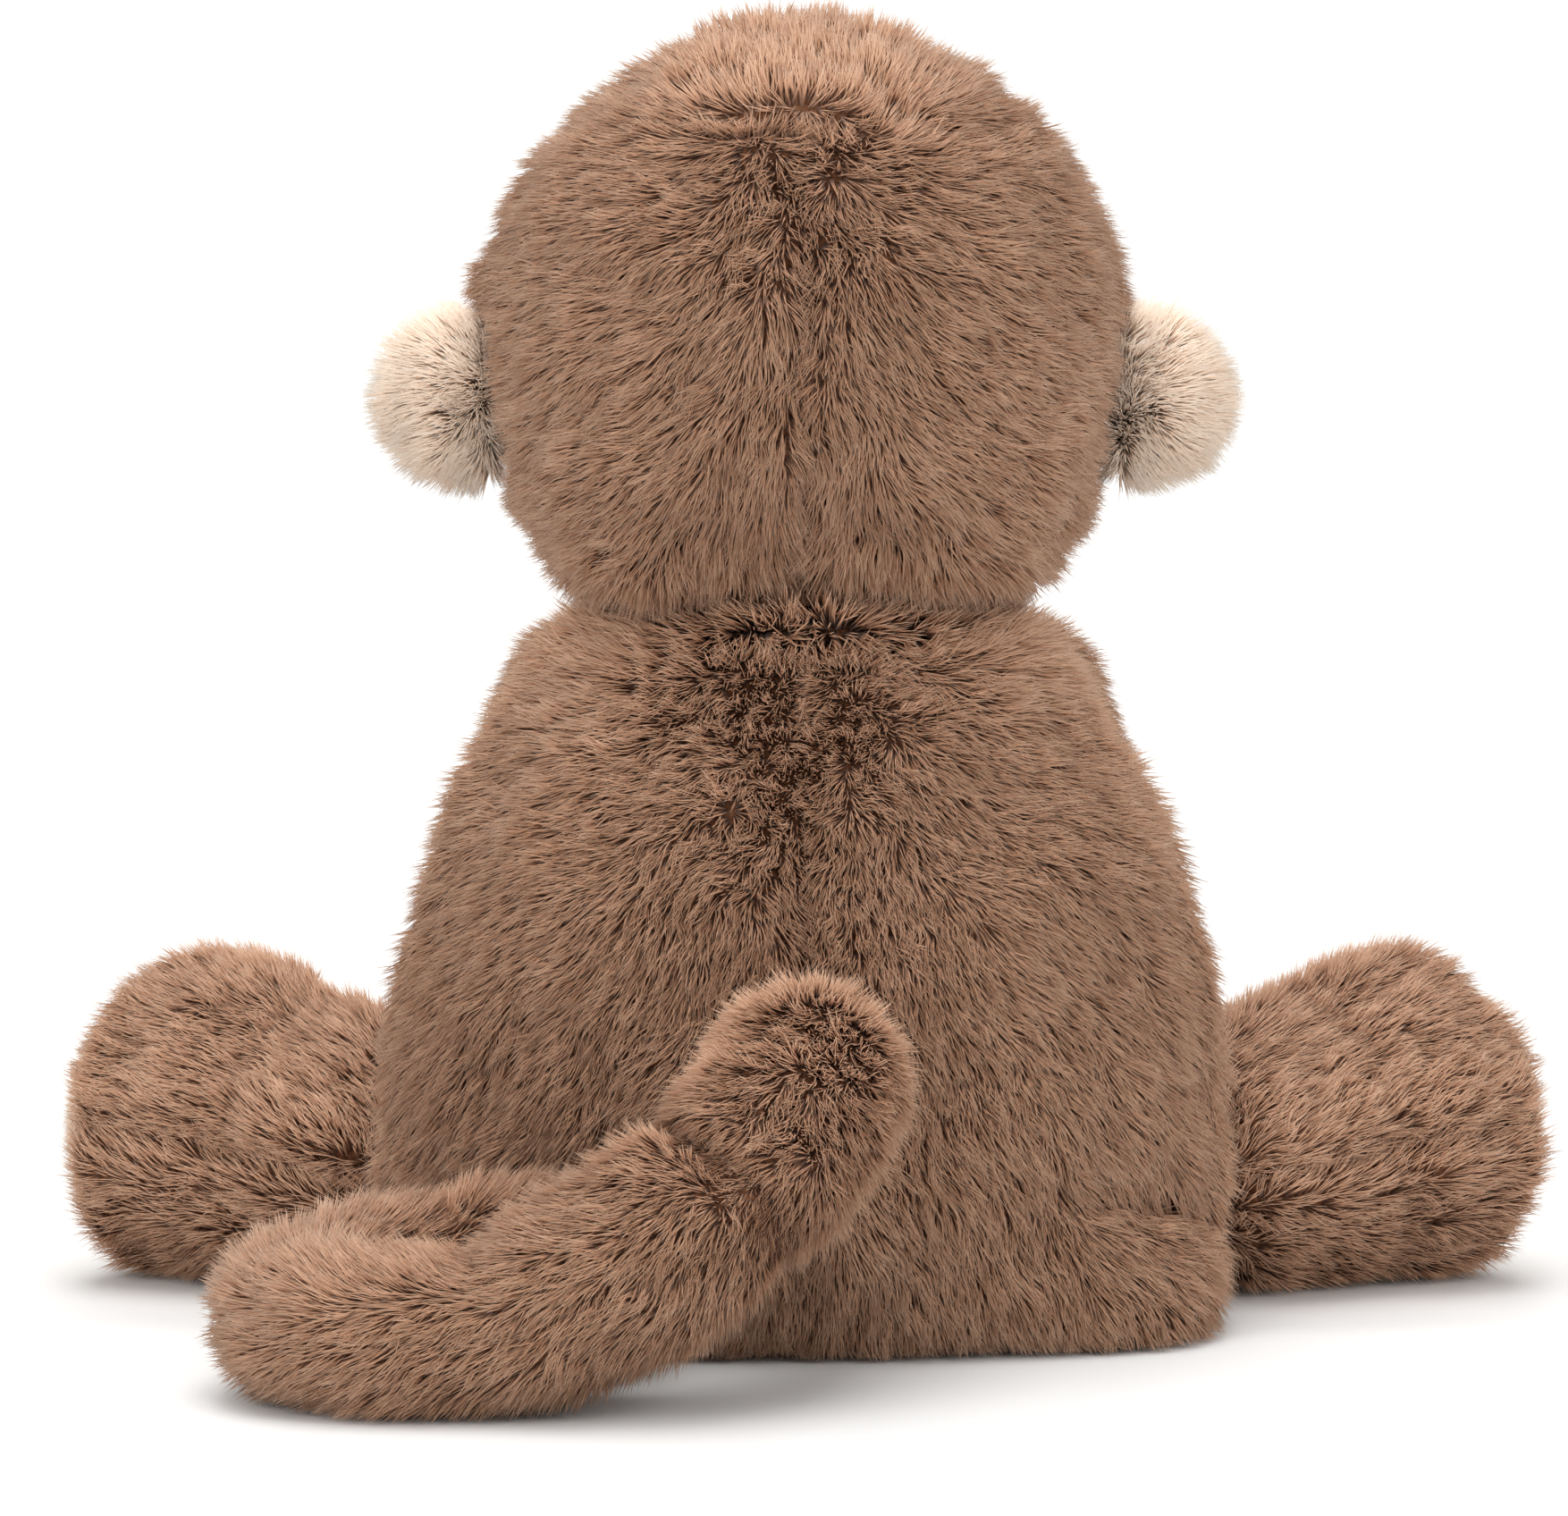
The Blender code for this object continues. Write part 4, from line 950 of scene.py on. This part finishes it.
ARM_LINE = ((41, -41, 112), (48.5, -46, 96), (53, -50, 82), (55, -52, 71))
ARM_RADIUS = [r / 1000 for r in (13.5, 12.3, 12.6, 13.6)]
ARM_COLUMNS = 48
ARM_CREASE, ARM_PILE = 0.0011, 0.0064
for name, side, seed in (("left", 1, 61), ("right", -1, 63)):
    line = [np.array((px * side, py, pz)) / 1000 for px, py, pz in ARM_LINE]
    arm, ways, length = stuffed_roll(
        line, ARM_RADIUS, ARM_RADIUS, 14, ARM_RADIUS[0], ARM_RADIUS[-1], ARM_COLUMNS, (0.0, side, 0.0)
    )
    out = grid_normals(arm)
    arm = arm + out * (-ARM_CREASE * bell(length, 0.040, 0.003) - INSET)[..., None]
    column = columns_of(arm)
    outer = (column >= 12) & (column < 36)
    comb = unit(ways + np.array((side * 0.35, 0.25, 0.0)) + 0 * arm)
    way = unit(line[1] - line[0])
    shoulder_bend = ("torso", "arm_" + name, tuple(line[0] - way * 0.014), tuple(line[0] + way * 0.008))
    for cloth_name, keep in (("outer", outer), ("inner", ~outer)):
        inner_fill = (f"arm_{name}_stuffing",) if cloth_name == "inner" else ()
        plush_panel(
            f"arm_{name}_{cloth_name}_plush", arm, keep, (comb, ARM_PILE, 1.0, 0.0),
            seed + (cloth_name == "inner"), BROWN, shoulder_bend, (f"arm_{name}_{cloth_name}", *inner_fill),
            fill=0.8, cut={"normals": out}, Fibres_per_square_metre=2.7e6,
        )

# ---- legs ------------------------------------------------------------------------------------------
# Each leg is an upper and an under cloth closed by an oval sole of pale short plush, stuffed full and
# sewn on at the hip. The pile was cut to run up and outward over the thigh.
LEG_LINE = ((86, -34, 26), (97, -41, 28), (109, -48, 30), (119, -54, 31))
LEG_WIDTH = [w / 1000 for w in (23, 26, 29.5, 31)]
LEG_HEIGHT = [h / 1000 for h in (25, 27, 29.5, 30.5)]
LEG_COLUMNS, LEG_ROOT_CAP, SOLE_CAP = 64, 0.023, 0.014
LEG_SEAM, LEG_RIDGE, LEG_CREASE, HEEL_ROUND, LEG_LUMP = 0.0014, 0.0008, 0.0012, 0.0022, 0.0012
for name, side, seed in (("left", 1, 71), ("right", -1, 75)):
    line = [np.array((px * side, py, pz)) / 1000 for px, py, pz in LEG_LINE]
    leg, ways, length = stuffed_roll(
        line, LEG_WIDTH, LEG_HEIGHT, 22, LEG_ROOT_CAP, SOLE_CAP, LEG_COLUMNS, (0.0, 0.0, 1.0)
    )
    out = grid_normals(leg)
    x, y, z = leg[..., 0] * side, leg[..., 1], leg[..., 2]
    level = np.abs(np.sin(np.linspace(0, math.tau, LEG_COLUMNS, endpoint=False)))[None, :]
    swell = (-LEG_SEAM * bell(level, 0, 0.10) + LEG_RIDGE * bell(level, 0.25, 0.12)) * (length < length[-6])
    swell = swell - HEEL_ROUND * smooth_step(0.044, 0.060, z) * smooth_step(0.05, 0.07, length)
    swell = swell - LEG_CREASE * bell(length, 0.034, 0.004) * (z > 0.02)
    swell = swell + LEG_LUMP * lumps(leg, 0.016, 5) * (length < length[-5])
    leg = leg + out * (swell - INSET)[..., None]
    leg[..., 2] = np.maximum(leg[..., 2], 0.0004)
    outward = np.stack([side * (0.8 + 0 * x), 0.25 + 0 * x, 0.9 - 1.1 * smooth_step(0.03, 0.055, z)], axis=-1)
    # The tone lifts the legs' pile a little and darkens it towards the ground: painted shade near the floor.
    leg_nap = (
        unit(outward + 0.35 * ways), PILE, smooth_step(0.0004, 0.002, z) * 0.9 + 0.1,
        0.15 - 0.36 * smooth_step(0.018, 0.004, z) + 0 * x,
    )
    column = columns_of(leg)
    sole = np.arange(len(leg))[:, None] + 0 * column >= len(leg) - 6
    way = unit(line[1] - line[0])
    hip = ("torso", "leg_" + name, tuple(line[0] - way * 0.022), tuple(line[0] + way * 0.012))
    for cloth_name, keep, density, offset in (
        ("upper", (column < LEG_COLUMNS // 2) & ~sole, 2.8e6, 0),
        ("under", (column >= LEG_COLUMNS // 2) & ~sole, 2.1e6, 1),
    ):
        inner_fill = (f"leg_{name}_stuffing",) if cloth_name == "under" else ()
        plush_panel(
            f"leg_{name}_{cloth_name}_plush", leg, keep, leg_nap, seed + offset, BROWN, hip,
            (f"leg_{name}_{cloth_name}", *inner_fill), fill=0.9, cut={"normals": out}, Swirl=0.9,
            Fibres_per_square_metre=density,
        )
    plush_panel(
        f"leg_{name}_sole_plush", leg, sole, (unit(out + (0.0, 0.0, -1.2)) * 0.8, 0.0032, 1.0, 0.0), seed + 2,
        PALE, "leg_" + name, (f"leg_{name}_sole",), fill=0.9, cut={"normals": out},
        Fibres_per_square_metre=5.0e6, Fibre_width=0.0003, Tufting=0.3, Swirl=0.2,
    )

# ---- tail ------------------------------------------------------------------------------------------
# One long stuffed tube of an upper and an under cloth, sewn into the back seam. It drops to the
# ground, runs out to the left, turns back on itself, and is pinched where it folds.
CURL_X, CURL_Y, CURL_RADIUS = 68.5, 71.6, 17.6
TAIL_ROOT_LINE = ((0, 63.5, 52), (4, 76, 46.5), (13, 86, 37.5), (26, 90.5, 28), (40, 90.5, 20.5))
curl = [
    (CURL_X + CURL_RADIUS * math.cos(math.radians(a)), CURL_Y + CURL_RADIUS * math.sin(math.radians(a)), 15)
    for a in (90, 60, 30, 0, -30, -60, -90)
]
TAIL_MID_LINE = ((40, 90.5, 20.5), (48, 90.2, 17.2), (57.5, 89.4, 15.3), *curl, (62, 54.2, 15))
TAIL_TIP_LINE = ((62, 54.2, 15), (55, 54.2, 15.3), (47, 54.5, 16))
TAIL_COLUMNS, TAIL_ROOT_RADIUS, TAIL_END_RADIUS, TAIL_PILE = 40, 0.016, 0.015, 0.0068
stages = []  # a place on the middle line, the way it runs, and the length number
for number, (given, count) in enumerate(((TAIL_ROOT_LINE, 20), (TAIL_MID_LINE, 34), (TAIL_TIP_LINE, 6))):
    line = [np.array(p) / 1000 for p in given]
    for k in range(count + (number == 2)):
        stages.append((line_point(line, k / count), line_way(line, k / count), number + k / count))
centre, way, part = (np.array([stage[k] for stage in stages]) for k in range(3))
radius = TAIL_ROOT_RADIUS - 0.001 * np.clip(part, 0, 1)
for degrees in (74, 58, 42, 26, 12, 0):
    a = math.radians(degrees)
    first = stages[0][0] - stages[0][1] * TAIL_ROOT_RADIUS * math.cos(a)
    last = stages[-1][0] + stages[-1][1] * TAIL_END_RADIUS * math.cos(a)
    centre = np.concatenate([first[None], centre, last[None]])
    way = np.concatenate([way[:1], way, way[-1:]])
    part = np.concatenate([[0.0], part, [3.0]])
    radius = np.concatenate([[TAIL_ROOT_RADIUS * math.sin(a)], radius, [TAIL_END_RADIUS * math.sin(a)]])
side_way = unit(np.cross((0.0, 0.0, 1.0), way))
up_way = np.cross(way, side_way)
angle = np.linspace(0, math.tau, TAIL_COLUMNS, endpoint=False)
tail = (
    centre[:, None] + np.cos(angle)[None, :, None] * (side_way * radius[:, None])[:, None]
    + np.sin(angle)[None, :, None] * (up_way * radius[:, None])[:, None]
)

# It is pinched where it first folds, lies flatter along the ground, and is full again at its end.
PINCH, BESIDE_PINCH, FLATTEN, END_FULL, TAIL_LUMP = 0.0048, 0.0014, 0.0046, 0.0022, 0.0008
out = grid_normals(tail)
pinched = bell(part, 0.52, 0.05)[:, None]
pinch = bell(part, 0.52, 0.045) * PINCH - bell(part, 0.70, 0.10) * BESIDE_PINCH
pinch = pinch + smooth_step(1.0, 1.2, part) * smooth_step(2.0, 1.5, part) * FLATTEN
pinch = pinch - smooth_step(2.0, 2.3, part) * END_FULL
fold = np.maximum(0.25, np.sin(angle))[None, :]
tail = tail - out * (pinch[:, None] * fold + INSET - TAIL_LUMP * lumps(tail, 0.014, 6))[..., None]
tail[..., 2] = np.maximum(tail[..., 2], 0.0004)
ty, tz = tail[..., 1], tail[..., 2]
# Darker close to the ground and in the pinch: painted shade.
tail_tone = 0.02 - 0.20 * smooth_step(0.010, 0.002, tz) - 0.25 * pinched
# Darker where the tail turns back beside itself: painted shade between the two runs of tail.
turned_back = (ty - 0.069) / 0.006
tail_tone = tail_tone - 0.35 * np.exp(-turned_back ** 2) * (part[:, None] > 1.0) * smooth_step(0.010, 0.022, tz)
by_back = smooth_step(0.052, 0.043, ty) * smooth_step(1.7, 1.95, part)[:, None]
tail_nap = (
    unit(way[:, None] + 0.25 * out + np.array((0, 0, -0.15))),
    (TAIL_PILE - 0.0030 * pinched) * (1 - 0.6 * by_back),
    smooth_step(0.0004, 0.002, tz) * 0.9 + 0.1, tail_tone,
)
column = columns_of(tail)
along = part[:, None] + 0 * column
upper = column < TAIL_COLUMNS // 2
for name, keep, bend, seed in (
    ("tail_root", along < 0.5, ("torso", "tail_root", (0.0, 0.054, 0.056), (0.003, 0.074, 0.047)), 81),
    (
        "tail_middle", (along >= 0.5) & (along < 1.6),
        ("tail_root", "tail_middle", (0.031, 0.0905, 0.025), (0.049, 0.0905, 0.016)), 83,
    ),
    (
        "tail_end", along >= 1.6,
        ("tail_middle", "tail_end", (0.069, 0.0542, 0.015), (0.055, 0.0542, 0.0153)), 85,
    ),
):
    for cloth_name, half_kept, density in (("upper", upper, 3.0e6), ("lower", ~upper, 2.5e6)):
        inner_fill = (name + "_stuffing",) if cloth_name == "lower" else ()
        plush_panel(
            f"{name}_{cloth_name}_plush", tail, keep & half_kept, tail_nap, seed + (cloth_name == "lower"),
            BROWN, bend, (f"{name}_{cloth_name}", *inner_fill), fill=0.75, cut={"normals": out}, Swirl=0.7,
            Fibres_per_square_metre=density,
        )

# ---- pellets and washers inside --------------------------------------------------------------------
# A thin woven pouch of plastic pellets sits in the seat to weigh the toy down, and pressed plastic
# washers hold the eyes. They are shut inside and keep the frame's own shapes.
pouch_finish, wire, shader = start_material("pouch_weave", 0.85, 0.1, 0.3)
where = wire.node("ShaderNodeTexCoord", out="Object")
weave = wire.node("ShaderNodeTexChecker", {"Vector": where, "Scale": 1600.0}, out="Fac")
set_colour(wire, shader, weave.blend((0.72, 0.69, 0.62, 1), (0.84, 0.82, 0.76, 1)))
set_bump(wire, shader, weave, 0.4, 0.0002)
pellet_finish, wire, shader = start_material("plastic_pellets", 0.4, 0.0, 0.5)
where = wire.node("ShaderNodeTexCoord", out="Object")
pellets = wire.node("ShaderNodeTexVoronoi", {"Vector": where, "Scale": 320.0}, out="Distance")
# Each pellet is pale in its middle and greyer towards its edge: painted shade between the pellets.
set_colour(wire, shader, wire.node(
    "ShaderNodeValToRGB", {0: pellets}, stops=((0.0, (0.92, 0.94, 0.96)), (0.7, (0.55, 0.57, 0.60)))
))
set_bump(wire, shader, 1.0 - pellets, 0.9, 0.002)
washer_finish, wire, shader = start_material("pressed_washer", 0.35, 0.0, 0.5)
where = wire.node("ShaderNodeTexCoord", out="Object")
grain = wire.node("ShaderNodeTexNoise", {"Vector": where, "Scale": 500.0})
set_colour(wire, shader, grain.blend((0.78, 0.78, 0.76, 1), (0.90, 0.90, 0.88, 1)))
for name, finish in (
    ("pellet_pouch", pouch_finish), ("pellet_fill", pellet_finish),
    ("eye_washer_left", washer_finish), ("eye_washer_right", washer_finish),
):
    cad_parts[name].data.materials.clear()
    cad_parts[name].data.materials.append(finish)

# ---- floor, light and camera -----------------------------------------------------------------------
# A seamless white sweep lit by large soft boxes, three on the toy and one on the sweep. The camera
# stands behind the toy and a little above it.
scene = bpy.context.scene
profile = [(4.0, 0.0), (-2.6, 0.0)]
for degrees in range(0, 91, 10):
    a = math.radians(degrees)
    profile.append((-2.8 - 0.7 * math.sin(a), 0.7 - 0.7 * math.cos(a)))
profile.append((-3.5, 3.2))
verts = [(wide, py, pz) for py, pz in profile for wide in (-4.0, 4.0)]
faces = [(2 * k, 2 * k + 1, 2 * k + 3, 2 * k + 2) for k in range(len(profile) - 1)]
backdrop = place_new("studio_sweep", verts, [], faces)
paper, wire, shader = start_material("sweep_paper", 0.9, 0.0, 0.1)
shader.inputs["Base Color"].default_value = (0.74, 0.737, 0.73, 1)
backdrop.data.materials.append(paper)

world = bpy.data.worlds.new("studio")
world.use_nodes = True
world.node_tree.nodes["Background"].inputs["Color"].default_value = (1.0, 1.0, 1.0, 1)
world.node_tree.nodes["Background"].inputs["Strength"].default_value = 0.62
scene.world = world


def soft_box(name, place, aim, size, watts):
    made = bpy.data.lights.new(name, "AREA")
    made.shape = "SQUARE"
    made.size = size
    made.energy = watts
    lamp = bpy.data.objects.new(name, made)
    lamp.location = place
    way = np.array(aim, float) - np.array(place, float)
    lamp.rotation_euler = Vector(way).to_track_quat("-Z", "Y").to_euler()
    scene.collection.objects.link(lamp)


soft_box("top_box", (0.1, 0.25, 1.6), (0, 0, 0.1), 1.2, 18.0)
soft_box("key_box", (1.1, 1.2, 0.9), (0, 0, 0.12), 1.0, 13.5)
soft_box("fill_box", (-1.2, 1.0, 0.8), (0, 0, 0.12), 1.0, 10.5)
soft_box("sweep_box", (0, -1.9, 2.6), (0, -3.3, 0.6), 1.8, 60.0)

CAMERA_AWAY, SEEN_WIDTH = 1.1, 0.286
lens = bpy.data.cameras.new("camera")
lens.sensor_width = 36.0
lens.lens = lens.sensor_width * CAMERA_AWAY / SEEN_WIDTH
lens.clip_start = 0.05
camera = bpy.data.objects.new("camera", lens)
target = np.array((0.0037, 0.0, 0.1034))
tilt = math.radians(5.0)
camera.location = target + CAMERA_AWAY * np.array((0.0, math.cos(tilt), math.sin(tilt)))
camera.rotation_euler = (math.pi / 2 - tilt, 0.0, math.pi)
scene.collection.objects.link(camera)
scene.camera = camera
scene.view_settings.view_transform = "Standard"
